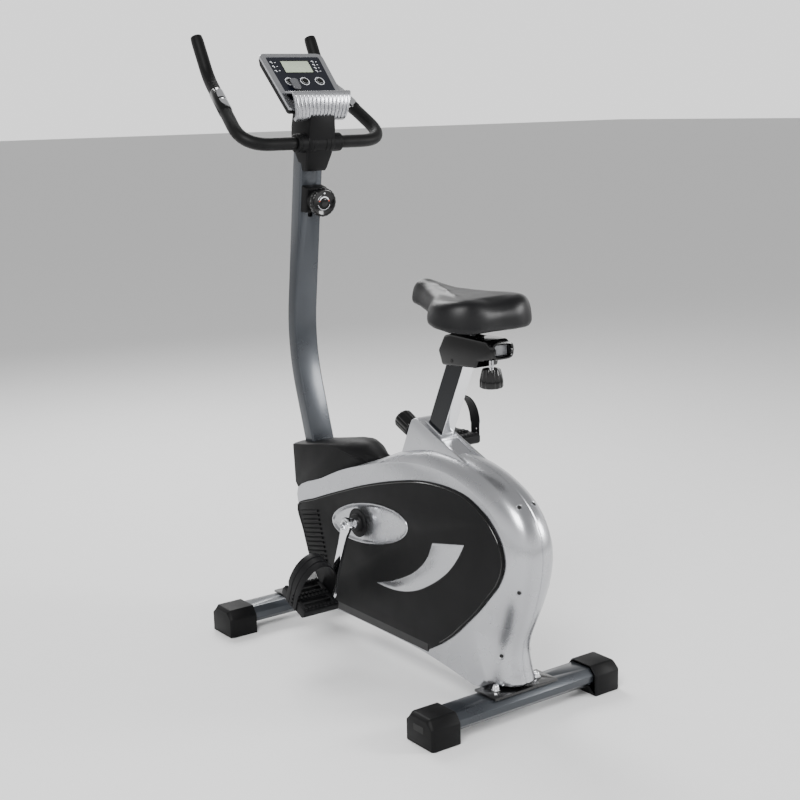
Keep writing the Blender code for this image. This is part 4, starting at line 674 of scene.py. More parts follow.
def crank_dish(word, side):
    """The silver eye round the crank axle: a raised rim and a dished floor deeper behind."""
    steps = [(0.0000, FACE_X + 0.0003), (-0.0001, PANEL_X + 0.0004), (-0.0010, PANEL_X + 0.0014),
             (-0.0028, PANEL_X + 0.0016), (-0.0042, PANEL_X + 0.0008), (-0.0060, FACE_X + 0.0036),
             (-0.0100, FACE_X + 0.0018), (-0.0200, FACE_X + 0.0010), (-0.0330, FACE_X + 0.0008)]
    rings = []
    for grow, x in steps:
        rings.append([at(side * x, y, z) for y, z in eye_outline(grow - 0.0004)])
    dish = loose(f"{word} crank dish", skin(rings))
    cut(dish, turned([(0.0, 0.0130), (0.2, 0.0130)], at(-0.1, CRANK_Y, CRANK_Z), (1, 0, 0), 32))
    dress(dish, "silver", "base", [f"{word}_crank_dish"])


def mast_shroud():
    """The black hood at the foot of the mast, high at the mast and falling to the rear."""
    top = [(0.304, 0.4445), (0.248, 0.453), (0.183, 0.4655), (0.118, 0.480), (0.075, 0.487), (0.040, 0.483),
           (0.004, 0.466)]
    bottom = [(-0.010, 0.4585), (0.040, 0.4380), (0.090, 0.4180), (0.185, 0.3800), (0.288, 0.3370),
              (0.298, 0.3480)]
    half = 0.0515
    shares = (-1.0, -0.985, -0.94, -0.86, -0.72, -0.5, -0.25, 0.0, 0.25, 0.5, 0.72, 0.86, 0.94, 0.985, 1.0)

    def section(share):
        ring = []
        for y, z in top:
            crown = 0.006 + 0.026 * min(max((0.150 - y) / 0.08, 0.0), 1.0)
            drop = crown * (1.0 - math.sqrt(1.0 - share * share))
            ring.append(at(share * (half - 0.32 * max(0.0, 0.090 - y)), y, z - drop))
        for y, z in bottom:
            ring.append(at(share * (half - 0.32 * max(0.0, 0.090 - y)), y, z))
        return ring

    hood = loose("mast shroud", skin([section(share) for share in shares]))
    rounded(hood, 0.0020, 3, 35.0)
    hole = prism([mast_point(-0.08, -0.0195), mast_point(-0.08, 0.0195), mast_point(0.09, 0.0195),
                  mast_point(0.09, -0.0195)], -0.0305, 0.0305)
    cut(hood, hole)
    dress(hood, "panel", "base", ["mast_shroud"])


# ---------------------------------------------------------------- drive side
def pedal_centre(side):
    reach = -side * CRANK_LENGTH
    return (CRANK_Y + reach * math.sin(CRANK_ANGLE), CRANK_Z - reach * math.cos(CRANK_ANGLE))


def crank_arm(word, side):
    """A chromed forged arm, waisted and leaning out, with its bolt and the black disc behind."""
    end = Vector(pedal_centre(side))
    hub = Vector((CRANK_Y, CRANK_Z))
    along = (end - hub).normalized()
    across = Vector((-along.y, along.x))

    def station(distance, half, low, high):
        middle = hub + along * distance
        out = CRANK_FLARE * distance / CRANK_LENGTH
        ring = []
        edge = min(0.0025, half * 0.35)
        for s, x in ((half - edge, high), (half, high - edge), (half, low + edge), (half - edge, low),
                     (edge - half, low), (-half, low + edge), (-half, high - edge), (edge - half, high)):
            p = middle + across * s
            ring.append(at(side * (x + out), p.x, p.y))
        return ring

    rings = [station(-0.016, 0.004, 0.0905, 0.0995), station(-0.014, 0.0105, 0.0895, 0.1005)]
    rings += [station(d, h, 0.089, 0.101) for d, h in
              ((-0.008, 0.0148), (0.0, 0.0165), (0.009, 0.0155), (0.020, 0.0122), (0.045, 0.0102),
               (0.090, 0.0094), (0.135, 0.0098), (0.158, 0.0120), (0.168, 0.0140), (0.175, 0.0145),
               (0.182, 0.0125))]
    rings += [station(0.1875, 0.0080, 0.0895, 0.1005), station(0.1893, 0.0030, 0.0905, 0.0995)]
    place(f"{word} crank arm", skin(rings), "chrome", "crankset", [f"{word}_crank"], 30.0)
    hub_at = at(side * 0.066, CRANK_Y, CRANK_Z)
    axis = (side, 0, 0)
    sleeve = turned([(0.0, 0.0128), (0.020, 0.0128), (0.0245, 0.0118)], hub_at, axis, 40)
    place(f"{word} crank sleeve", sleeve, "chrome", "crankset")
    disc = turned([(0.0, 0.0310), (0.0006, 0.0328), (0.0030, 0.0330), (0.0042, 0.0318), (0.0046, 0.0215),
                   (0.0085, 0.0205), (0.0098, 0.0190), (0.0100, 0.0120)],
                  at(side * 0.0630, CRANK_Y, CRANK_Z), axis, 64)
    place(f"{word} crank disc", disc, "rubber", "crankset")
    face = at(side * 0.1005, CRANK_Y, CRANK_Z)
    washer = turned([(0.0, 0.0118), (0.0012, 0.0118), (0.0016, 0.0110)], face, axis, 40)
    place(f"{word} crank washer", washer, "chrome", "crankset")
    nut = turned([(0.0012, 0.0085), (0.0070, 0.0085), (0.0078, 0.0076)], face, axis, 6)
    place(f"{word} crank nut", nut, "chrome", "crankset", sharp=20.0)
    stud = turned([(0.0070, 0.0045), (0.0095, 0.0045), (0.0102, 0.0036)], face, axis, 24)
    place(f"{word} crank stud", stud, "steel", "crankset")


def turned_about(bm, centre, angle):
    bmesh.ops.rotate(bm, verts=bm.verts, cent=at(0, *centre), matrix=Matrix.Rotation(angle, 3, "X"))
    return bm


def pedal(word, side, tilt):
    """A moulded pedal: open frame, raised tread pads, spindle tube, and its ribbed strap."""
    y, z = pedal_centre(side)
    body = f"{word}_pedal_body"
    low, high = sorted((side * PEDAL_X[0], side * PEDAL_X[1]))
    half = PEDAL_HALF_LENGTH
    profile = [(y - half, z - 0.0075), (y - half + 0.006, z - 0.0125), (y + half - 0.006, z - 0.0125),
               (y + half, z - 0.0075), (y + half, z + 0.0065), (y + half - 0.005, z + 0.0105),
               (y - half + 0.005, z + 0.0105), (y - half, z + 0.0065)]
    block = loose(f"{word} pedal", turned_about(prism(profile, low, high), (y, z), tilt))
    windows = []
    for sign in (-1, 1):
        near, far = sorted((y + sign * 0.0125, y + sign * (half - 0.011)))
        outline = [(near, z - 0.03), (far, z - 0.03), (far, z + 0.03), (near, z + 0.03)]
        windows.append(turned_about(prism(outline, low + 0.011, high - 0.011), (y, z), tilt))
    cut(block, *windows)
    rounded(block, 0.0016, 3, 30.0)
    dress(block, "rubber", body, [f"{word}_pedal"])
    for number, place_y in enumerate((-0.0415, -0.0060, 0.0060, 0.0415)):
        stud = skin([[Vector((sx * s, sy * s2, h)) for sx, sy in
                      ((-1, -1), (1, -1), (1, 1), (-1, 1))] for s, s2, h in
                     ((0.0036, 0.0038, -0.002), (0.0036, 0.0038, 0.0012), (0.0026, 0.0028, 0.0026))])
        bmesh.ops.rotate(stud, verts=stud.verts, cent=(0, 0, 0), matrix=Matrix.Rotation(tilt, 3, "X"))
        offset = Matrix.Rotation(tilt, 3, "X") @ Vector((0.0, place_y, 0.0105))
        start = at(low + 0.0065, y, z) + offset
        repeated(f"{word} pedal tread row {number + 1}", stud, "rubber", body, 9, start,
                 ((high - low - 0.013) / 8.0, 0, 0))
    for sign in (-1, 1):
        bar = skin([[Vector((x, sign * 0.024 + s, h)) for s, h in
                     ((-0.0022, -0.008), (0.0022, -0.008), (0.0022, 0.0100), (-0.0022, 0.0100))]
                    for x in (low + 0.010, high - 0.010)])
        bmesh.ops.rotate(bar, verts=bar.verts, cent=(0, 0, 0), matrix=Matrix.Rotation(tilt, 3, "X"))
        bmesh.ops.translate(bar, verts=bar.verts, vec=at(0, y, z))
        place(f"{word} pedal cross bar {'rear' if sign < 0 else 'front'}", bar, "rubber", body)
    strap(word, side, tilt, y, z, body)


def strap(word, side, tilt, y, z, body):
    """The foot strap: three raised bands across its width, and adjusting holes low outside."""
    middle = (PEDAL_X[0] + PEDAL_X[1]) / 2.0
    reach = (PEDAL_X[1] - PEDAL_X[0]) / 2.0 + 0.0003
    offset = 0.004 if side < 0 else -0.028
    half_width = 0.025 if side < 0 else 0.0165
    path = [(-1, -0.010), (-1, 0.010), (-1, 0.030)]
    path += [(math.cos(math.radians(180 - 180 * i / 28)), math.sin(math.radians(180 * i / 28)))
             for i in range(1, 28)]
    path += [(1, 0.030), (1, 0.010), (1, -0.010)]
    section = [(-1.0, 0.0), (-1.0, 0.8), (-0.94, 1.0), (-0.42, 1.0), (-0.37, 0.45), (-0.32, 0.45),
               (-0.27, 1.0), (0.27, 1.0), (0.32, 0.45), (0.37, 0.45), (0.42, 1.0), (0.94, 1.0),
               (1.0, 0.8), (1.0, 0.0)]
    rings = []
    for i, (px, pz) in enumerate(path):
        straight = i < 3 or i > len(path) - 4
        waist = 1.0 if not straight else 0.86
        ring = []
        for across, rise in section:
            radius = reach + rise * 0.0028
            height = pz if straight else 0.030 + pz * (0.073 + rise * 0.0028)
            ring.append(at(side * (middle + px * radius), y + offset + across * half_width * waist, z + height))
        rings.append(ring)
    band = loose(f"{word} pedal strap", turned_about(skin(rings), (y, z), tilt))
    holes = []
    for level in (0.0, 0.010, 0.020):
        start = at(side * (middle + reach - 0.01), y + offset - 0.004, z + level)
        hole = turned([(0.0, 0.0026), (0.03, 0.0026)], start, (side, 0, 0), 16)
        holes.append(turned_about(hole, (y, z), tilt))
    low, high = sorted((side * (PEDAL_X[0] - 0.012), side * (PEDAL_X[0] + 0.012)))
    bore = turned([(0.0, 0.0073), (high - low, 0.0073)], at(low, y, z), (1, 0, 0), 24)
    cut(band, *holes, bore)
    dress(band, "rubber", body, [f"{word}_pedal_strap"])


# ---------------------------------------------------------------- seat
def fluted_knobs():
    """The two black finger knobs: the height pin in front of the post and the saddle lock."""
    axis = Vector((0, math.cos(POST_LEAN), math.sin(POST_LEAN)))
    start = at(0, *post_point(-0.105, 0.0256))
    shank = turned([(0.0, 0.0035), (0.004, 0.0050), (0.024, 0.0050), (0.024, 0.0105), (0.054, 0.0105)],
                   start, axis, 32)
    place("height pin shank", shank, "steel", "height_pin", ["pop_pin"])
    grip = [(0.0530, 0.0190, 0.2), (0.0545, 0.0206, 0.8), (0.0640, 0.0213, 1.0), (0.0760, 0.0219, 1.0),
            (0.0880, 0.0222, 1.0), (0.0940, 0.0222, 0.6), (0.0970, 0.0205, 0.2), (0.0985, 0.0170, 0.0),
            (0.0985, 0.0060, 0.0)]
    place("height pin knob", fluted(grip, start, axis, 14, 0.0016), "gloss", "height_pin", sharp=50.0)
    start = at(0, -0.379, 0.6690)
    lock = [(0.0, 0.0060, 0.0), (0.0, 0.0185, 0.2), (0.0012, 0.0222, 0.6), (0.0040, 0.0243, 1.0),
            (0.0160, 0.0240, 1.0), (0.0280, 0.0215, 1.0), (0.0370, 0.0192, 0.8), (0.0395, 0.0178, 0.2),
            (0.0400, 0.0080, 0.0)]
    place("saddle lock knob", fluted(lock, start, (0, 0, 1), 12, 0.0020), "gloss", "slider_lock",
          ["slider_knob"], sharp=50.0)
    for number, x in enumerate((-0.0032, 0.0032)):
        rod = turned([(0.0385, 0.0024), (0.0665, 0.0024)], start + Vector((x, 0, 0)), (0, 0, 1), 16)
        place(f"saddle lock stud {number + 1}", rod, "chrome", "slider_lock")


def post_painted_reflections():
    """Thin facings down the two sides of the seat post, coloured navy black as a painted dark reflection."""
    for word, side in SIDES:
        corners = [(-0.1450, -0.0240), (0.1270, -0.0240), (0.1270, 0.0240), (-0.1450, 0.0240)]
        low, high = sorted((side * 0.01495, side * 0.01512))
        facing = prism([post_point(a, c) for a, c in corners], low, high)
        place(f"{word} post facing", facing, "chrome painted dark reflection", "post")


def saddle_carriage():
    """The glossy carriage on the post's top, narrower to the rear, with an oval bezel at its mouth."""
    outline = [(-0.2435, 0.7330), (-0.2640, 0.7660), (-0.2840, 0.7715), (-0.3980, 0.7690), (-0.4200, 0.7500),
               (-0.4100, 0.7310), (-0.3700, 0.7250), (-0.3650, 0.7100), (-0.2560, 0.7030)]

    def layer(x):
        return [at(x * (1.0 if y > -0.36 else 1.0 - 1.6 * (-0.36 - y)), y, z) for y, z in outline]

    block = loose("saddle carriage", skin([layer(x) for x in (-0.030, 0.030)]))
    rounded(block, 0.0050, 5, 15.0)
    channel = prism([(-0.47, 0.7372), (-0.2535, 0.7372), (-0.2535, 0.7598), (-0.47, 0.7598)], -0.0192, 0.0192)
    slot = prism([(-0.3510, 0.7550), (-0.2560, 0.7550), (-0.2560, 0.79), (-0.3510, 0.79)], -0.013, 0.013)
    stud = turned([(0, 0.0064), (0.05, 0.0064)], at(0, -0.379, 0.700), (0, 0, 1), 24)
    socket = post_box((0.02, 0.1283), (-0.0253, 0.0253), 0.0153)
    cut(block, channel, slot, stud, socket)
    dress(block, "gloss", "post", ["saddle_carriage"])
    bezel = []
    for grow, back in ((0.0053, -0.002), (0.0053, 0.0030), (0.0065, 0.0045), (0.0100, 0.0035),
                       (0.0115, -0.002)):
        ring = []
        for i in range(40):
            a = 2.0 * math.pi * i / 40
            c, s = math.cos(a), math.sin(a)
            x = math.copysign(abs(c) ** 0.5, c) * (0.0172 + grow)
            up = math.copysign(abs(s) ** 0.6, s) * (0.0088 + grow * 0.85)
            ring.append(at(x, -0.4125 - back - 0.30 * (0.0105 - abs(up)) * 0.2, 0.7488 + up))
        bezel.append(ring)
    place("carriage bezel", skin(bezel, loop=True), "gloss", "post")
    # A near-black disc: painted shade inside the screw hole.
    screw = turned([(0.0, 0.0042), (0.0004, 0.0042), (0.0006, 0.0034)], at(-0.0299, -0.2900, 0.7160),
                   (-1, 0, 0), 24)
    place("carriage screw hole", screw, "recess", "post")


def saddle_outline(shrink):
    """Plan view of the saddle: two rear lobes, a waist and a round nose."""
    right = []
    lobe_r = 0.070 - shrink
    nose_r = 0.030 - shrink
    for degrees in (-80, -50, -20, 10, 40):
        a = math.radians(degrees)
        right.append((0.045 + lobe_r * math.cos(a), -0.345 + lobe_r * math.sin(a)))
    right += [(0.062 - shrink, -0.262), (0.043 - shrink, -0.215), (0.034 - shrink, -0.190)]
    for degrees in (0, 30, 60):
        a = math.radians(degrees)
        right.append((nose_r * math.cos(a), -0.168 + nose_r * math.sin(a)))
    left = [(-x, y) for x, y in reversed(right)]
    return right + [(0.0, -0.168 + nose_r)] + left + [(0.0, -0.345 - lobe_r + 0.003)]


def saddle_top(y):
    t = min(max((y + 0.410) / 0.290, 0.0), 1.0)
    return 0.846 + 0.027 * t ** 1.6 - 0.010 * math.sin(math.pi * min(t * 1.25, 1.0))


def saddle_under(y):
    return 0.794 + 0.125 * (y + 0.370)


def saddle():
    """The saddle: foam under vinyl, swollen by simulation from a slightly smaller form."""
    rings = []
    levels = ((0.0030, -0.04), (0.0000, 0.00), (-0.0012, 0.12), (-0.0006, 0.34), (0.0016, 0.56), (0.0062, 0.78),
              (0.0135, 0.915), (0.0230, 0.980), (0.0270, 0.992))
    for shrink, rise in levels:
        ring = []
        for p in curve_through([Vector((x, y)) for x, y in saddle_outline(shrink)], 3):
            base = saddle_under(p.y)
            lift = 0.0045 * min(max((abs(p.x) - 0.02) / 0.05, 0.0), 1.0) * rise
            crown = saddle_top(p.y) - base + 0.0045
            ring.append(at(p.x, p.y, base + crown * rise + lift))
        rings.append(ring)
    cushion = loose("saddle cushion", skin(rings))
    remesh = cushion.modifiers.new("even mesh", "REMESH")
    remesh.mode = "VOXEL"
    remesh.voxel_size = 0.0045
    remesh.use_smooth_shade = True
    baked(cushion, 180.0)
    smooth = cushion.modifiers.new("relax", "SMOOTH")
    smooth.factor = 0.5
    smooth.iterations = 4
    baked(cushion, 180.0)
    swell(cushion)
    split = cushion.modifiers.new("fine mesh", "SUBSURF")
    split.levels = 1
    split.render_levels = 1
    baked(cushion, 180.0)
    dress(cushion, "vinyl", "saddle", ["saddle_cushion"])


def swell(cushion):
    """Blow the cover out a little as foam does, holding the flat base."""
    rest = [v.co.copy() for v in cushion.data.vertices]
    cloth = cushion.modifiers.new("cover", "CLOTH")
    cloth.settings.use_pressure = True
    cloth.settings.uniform_pressure_force = 4.0
    cloth.settings.effector_weights.gravity = 0.0
    cloth.settings.quality = 5
    scene = bpy.context.scene
    for step in range(1, 21):
        scene.frame_set(step)
    bpy.context.view_layer.update()
    graph = bpy.context.evaluated_depsgraph_get()
    blown = bpy.data.meshes.new_from_object(cushion.evaluated_get(graph))
    cushion.modifiers.clear()
    limit = 0.0014
    for v, start, end in zip(cushion.data.vertices, rest, blown.vertices):
        move = end.co - start
        base = start.z - saddle_under(start.y - SHIFT_Y)
        share = min(max((base - 0.004) / 0.012, 0.0), 1.0)
        if move.length > limit:
            move = move * (limit / move.length)
        v.co = start + move * share
    bpy.data.meshes.remove(blown)
    scene.frame_set(1)
    relax = cushion.modifiers.new("relax", "SMOOTH")
    relax.factor = 0.5
    relax.iterations = 10
    baked(cushion, 180.0)


# ---------------------------------------------------------------- handlebar
HORN = [(0.1943, BAR_Y, BAR_Z), (0.1543, 0.4430, 1.2945), (0.1555, 0.4919, 1.3902)]


def horn_path(start_x, side):
    corners = [Vector((side * x, y, z)) for x, y, z in [(start_x, BAR_Y, BAR_Z)] + HORN]
    return [at(*p) for p in rounded_path(corners, (0.072, 0.028))]


def handlebar():
    """The bent bar, its foam sleeves with rolled ends, and the chromed pulse plates."""
    left = [p for p in reversed(horn_path(0.0, -1))]
    path = left[:-1] + horn_path(0.0, 1)
    place("handlebar", skin(sweep(path, BAR_R, 32)), "enamel", "bar", ["handlebar"])
    for word, side in SIDES:
        route = horn_path(0.0600, side)
        route[-1] = route[-1] - (route[-1] - route[-2]).normalized() * 0.0010
        dense = []
        for a, b in zip(route[:-1], route[1:]):
            count = max(1, int((b - a).length / 0.008))
            dense += [a.lerp(b, k / count) for k in range(count)]
        dense.append(route[-1])
        total = len(dense) - 1

        def grip_r(t, total=total):
            edge = min(t, 1.0 - t) * total
            return GRIP_R - 0.0012 * max(0.0, 1.0 - edge / 1.2)

        place(f"{word} grip", skin(sweep(dense, grip_r, 32)), "foam", "bar", [f"{word}_grip"], 50.0)
        tip = turned([(0.0, GRIP_R - 0.002), (0.0018, GRIP_R - 0.003), (0.0028, 0.008)],
                     route[-1] - (route[-1] - route[-2]).normalized() * 0.0018, route[-1] - route[-2], 32)
        place(f"{word} grip end", tip, "rubber", "bar")
        bend = Vector((side * HORN[1][0], HORN[1][1], HORN[1][2]))
        along = (bend - Vector((side * HORN[0][0], HORN[0][1], HORN[0][2]))).normalized()
        ends = [at(*(bend - along * d)) for d in (0.060, 0.134)]
        axis = (ends[1] - ends[0]).normalized()
        length = (ends[1] - ends[0]).length
        inward = Vector((-side, -0.5, 0.9))
        inward = (inward - axis * inward.dot(axis)).normalized()
        across = axis.cross(inward)
        for number, (first, last) in enumerate(((0.0, 0.46), (0.54, 1.0))):
            rows = []
            for k in range(13):
                t = k / 12.0
                s = length * (first + (last - first) * t)
                tip = t if first > 0 else 1.0 - t
                spread = math.radians(78.0) * math.sqrt(max(1.0 - tip ** 3, 0.02))
                edge = 0.0010 * max(0.0, 1.0 - 6.0 * min(t, 1.0 - t))
                row = []
                for r, angles in ((0.0172 - edge, range(-6, 7)), (0.0149, range(6, -7, -1))):
                    for i in angles:
                        a = spread * i / 6.0
                        row.append(ends[0] + axis * s + (inward * math.cos(a) + across * math.sin(a)) * r)
                rows.append(row)
            nodes = [f"{word}_pulse_sensor"] if number == 0 else []
            plate = skin(rows)
            place(f"{word} pulse plate {number + 1}", plate, "chrome", "bar", nodes, 40.0)
        profile = [(-0.003, 0.0145), (-0.001, 0.0157), (length + 0.001, 0.0157), (length + 0.003, 0.0145)]
        place(f"{word} pulse plate holder", turned(profile, ends[0], axis, 48), "gloss", "bar")


def upper_mast_point(z, back=0.0):
    top_y, top_z = mast_top()
    y = top_y + (z - top_z) * math.tan(MAST_UPPER_LEAN)
    return (y - back * math.cos(MAST_UPPER_LEAN), z + back * math.sin(MAST_UPPER_LEAN))


def mast_top():
    """Middle line of the mast at its top, after its one bend."""
    y = MAST_BOTTOM[0] + (MAST_BEND_Z - MAST_BOTTOM[1]) * math.tan(MAST_LOWER_LEAN)
    end_y = y + MAST_BEND_R * (math.cos(MAST_UPPER_LEAN) - math.cos(MAST_LOWER_LEAN))
    end_z = MAST_BEND_Z + MAST_BEND_R * (math.sin(MAST_LOWER_LEAN) - math.sin(MAST_UPPER_LEAN))
    return (end_y + (MAST_TOP_Z - end_z) * math.tan(MAST_UPPER_LEAN), MAST_TOP_Z)


def clamp_cover():
    """The hood over the handlebar clamp, wrapping the mast, with ringed collars beside it."""
    rows = ((1.0880, 0.0270, 0.019), (1.0960, 0.0290, 0.023), (1.1250, 0.0335, 0.032), (1.1420, 0.0355, 0.036),
            (1.1800, 0.0360, 0.040), (1.2120, 0.0330, 0.040))
    rings = []
    for z, half, depth in rows:
        wrap = 0.038 * min(max((z - 1.088) / 0.06, 0.0), 1.0)
        near = upper_mast_point(z, 0.0193 - wrap)
        far = upper_mast_point(z, 0.019 + depth)
        edge = 0.007
        ring = [at(-half, *near), at(half, *near)]
        ring += [at(half, far[0] + edge, far[1]), at(half - edge * 0.3, far[0] + edge * 0.3, far[1]),
                 at(half - edge, *far), at(edge - half, *far),
                 at(edge * 0.3 - half, far[0] + edge * 0.3, far[1]), at(-half, far[0] + edge, far[1])]
        rings.append(ring)
    hood = loose("clamp hood", skin(rings))
    slot = [upper_mast_point(1.05, 0.0192), upper_mast_point(1.05, -0.06), upper_mast_point(1.25, -0.06),
            upper_mast_point(1.25, 0.0192)]
    cut(hood, prism(slot, -0.0303, 0.0303))
    rounded(hood, 0.0018, 3, 25.0)
    dress(hood, "panel", "base", ["clamp_cover"])
    boss = [(-0.0345, 0.0190), (-0.0345, 0.0222), (-0.0330, 0.0236), (-0.0240, 0.0236), (-0.0232, 0.0226),
            (-0.0212, 0.0226), (-0.0204, 0.0236), (-0.0130, 0.0236), (-0.0120, 0.0222), (0.0120, 0.0222),
            (0.0130, 0.0236), (0.0204, 0.0236), (0.0212, 0.0226), (0.0232, 0.0226), (0.0240, 0.0236),
            (0.0330, 0.0236), (0.0345, 0.0222), (0.0345, 0.0190)]
    place("clamp boss", turned(boss, at(0, BAR_Y, BAR_Z), (1, 0, 0), 48), "panel", "base", sharp=45.0)
    for word, side in SIDES:
        steps = [(0.0, 0.0215), (0.0140, 0.0215), (0.0148, 0.0206), (0.0172, 0.0206), (0.0180, 0.0212),
                 (0.0232, 0.0208), (0.0245, 0.0192), (0.0245, 0.0150)]
        collar = turned(steps, at(side * 0.0348, BAR_Y, BAR_Z), (side, 0, 0), 48)
        place(f"{word} clamp collar", collar, "panel", "base")


def tension_dial():
    """The round tension dial with a fluted rim, a printed arc and a pointer dot."""
    foot = at(0, *upper_mast_point(1.022, 0.0193))
    housing = loose("tension housing", prism([upper_mast_point(0.992, 0.0193), upper_mast_point(1.054, 0.0193),
                                              upper_mast_point(1.051, 0.0440), upper_mast_point(0.995, 0.0440)],
                                             -0.0275, 0.0275))
    rounded(housing, 0.0035, 4, 30.0)
    dress(housing, "panel", "base", ["tension_housing"])
    collar = turned([(0.0240, 0.0262), (0.0330, 0.0262), (0.0352, 0.0240)], foot, REARWARD, 48)
    place("tension housing collar", collar, "panel", "base")
    start = at(0, *upper_mast_point(1.022, 0.019 + 0.036 + 0.0003))
    neck = turned([(0.0003, 0.0225), (0.0075, 0.0225), (0.0100, 0.0240)], start, REARWARD, 48)
    place("tension dial neck", neck, "gloss", "tension_dial")
    rim = [(0.0085, 0.0300, 0.0), (0.0085, 0.0316, 0.2), (0.0100, 0.0332, 1.0), (0.0170, 0.0332, 1.0),
           (0.0195, 0.0322, 0.8), (0.0208, 0.0304, 0.2), (0.0212, 0.0285, 0.0), (0.0200, 0.0268, 0.0),
           (0.0198, 0.0020, 0.0)]
    place("tension dial", fluted(rim, start, REARWARD, 20, 0.0010), "gloss", "tension_dial",
          ["tension_knob"], 40.0)
    hub = turned([(0.0190, 0.0095), (0.0206, 0.0092), (0.0212, 0.0078), (0.0213, 0.0030)], start, REARWARD, 48)
    place("tension dial hub", hub, "gloss", "tension_dial")
    face = start + REARWARD * 0.0201
    arcs = (("arc", 0.0118, 0.0142, -62, 62, "ink"), ("lower ring", 0.0160, 0.0166, 105, 255, "ink"),
            ("scale", 0.0178, 0.0186, 28, 68, "ink"), ("minus tip", 0.0118, 0.0150, 66, 78, "red ink"),
            ("plus tip", 0.0118, 0.0150, -78, -66, "red ink"))
    for name, inner, outer, first, last, finish in arcs:
        arc_strip(f"tension dial {name}", face, REARWARD, inner, outer, first, last, finish, "tension_dial")
    up = Vector((0, math.sin(MAST_UPPER_LEAN), math.cos(MAST_UPPER_LEAN)))
    dot = turned([(-0.0003, 0.0019), (0.0002, 0.0019)], face + up * 0.0215, REARWARD, 20)
    place("tension dial dot", dot, "ink", "tension_dial")


def arc_strip(name, centre, normal, inner, outer, first, last, finish, body, thick=0.0003):
    """A thin printed arc on a flat face, between two angles in degrees."""
    normal = Vector(normal).normalized()
    up = Vector((0, 0, 1)) - normal * normal.z
    up.normalize()
    side = normal.cross(up)
    whole = last - first >= 359
    count = max(6, int((last - first) / 6))
    rings = []
    for i in range(count if whole else count + 1):
        a = math.radians(first + (last - first) * i / count)
        ray = up * math.cos(a) + side * math.sin(a)
        rings.append([centre + ray * inner - normal * thick, centre + ray * outer - normal * thick,
                      centre + ray * outer + normal * thick * 0.4, centre + ray * inner + normal * thick * 0.4])
    place(name, skin(rings, loop=whole), finish, body)


# ---------------------------------------------------------------- console
def console_slab(corners, low, high):
    """A prism on the console's face: corners are (x, up), between two heights out of it."""
    return skin([[on_console(x, up, out) for x, up in corners] for out in (low, high)])


def rounded_corners(corners, radius, steps=6):
    """Round the corners of a polygon of (x, up) points; radius may differ by corner."""
    points = []
    count = len(corners)
    for i in range(count):
        r = radius[i] if isinstance(radius, (list, tuple)) else radius
        here = Vector(corners[i])
        before = (Vector(corners[i - 1]) - here).normalized() * r
        after = (Vector(corners[(i + 1) % count]) - here).normalized() * r
        for k in range(steps + 1):
            t = k / steps
            p = (here + before) * (1 - t) ** 2 + here * (2 * t * (1 - t)) + (here + after) * t ** 2
            points.append((p.x, p.y))
    return points


BUTTON_X = (-0.040, 0.0, 0.040)
BUTTON_UP = -0.0015


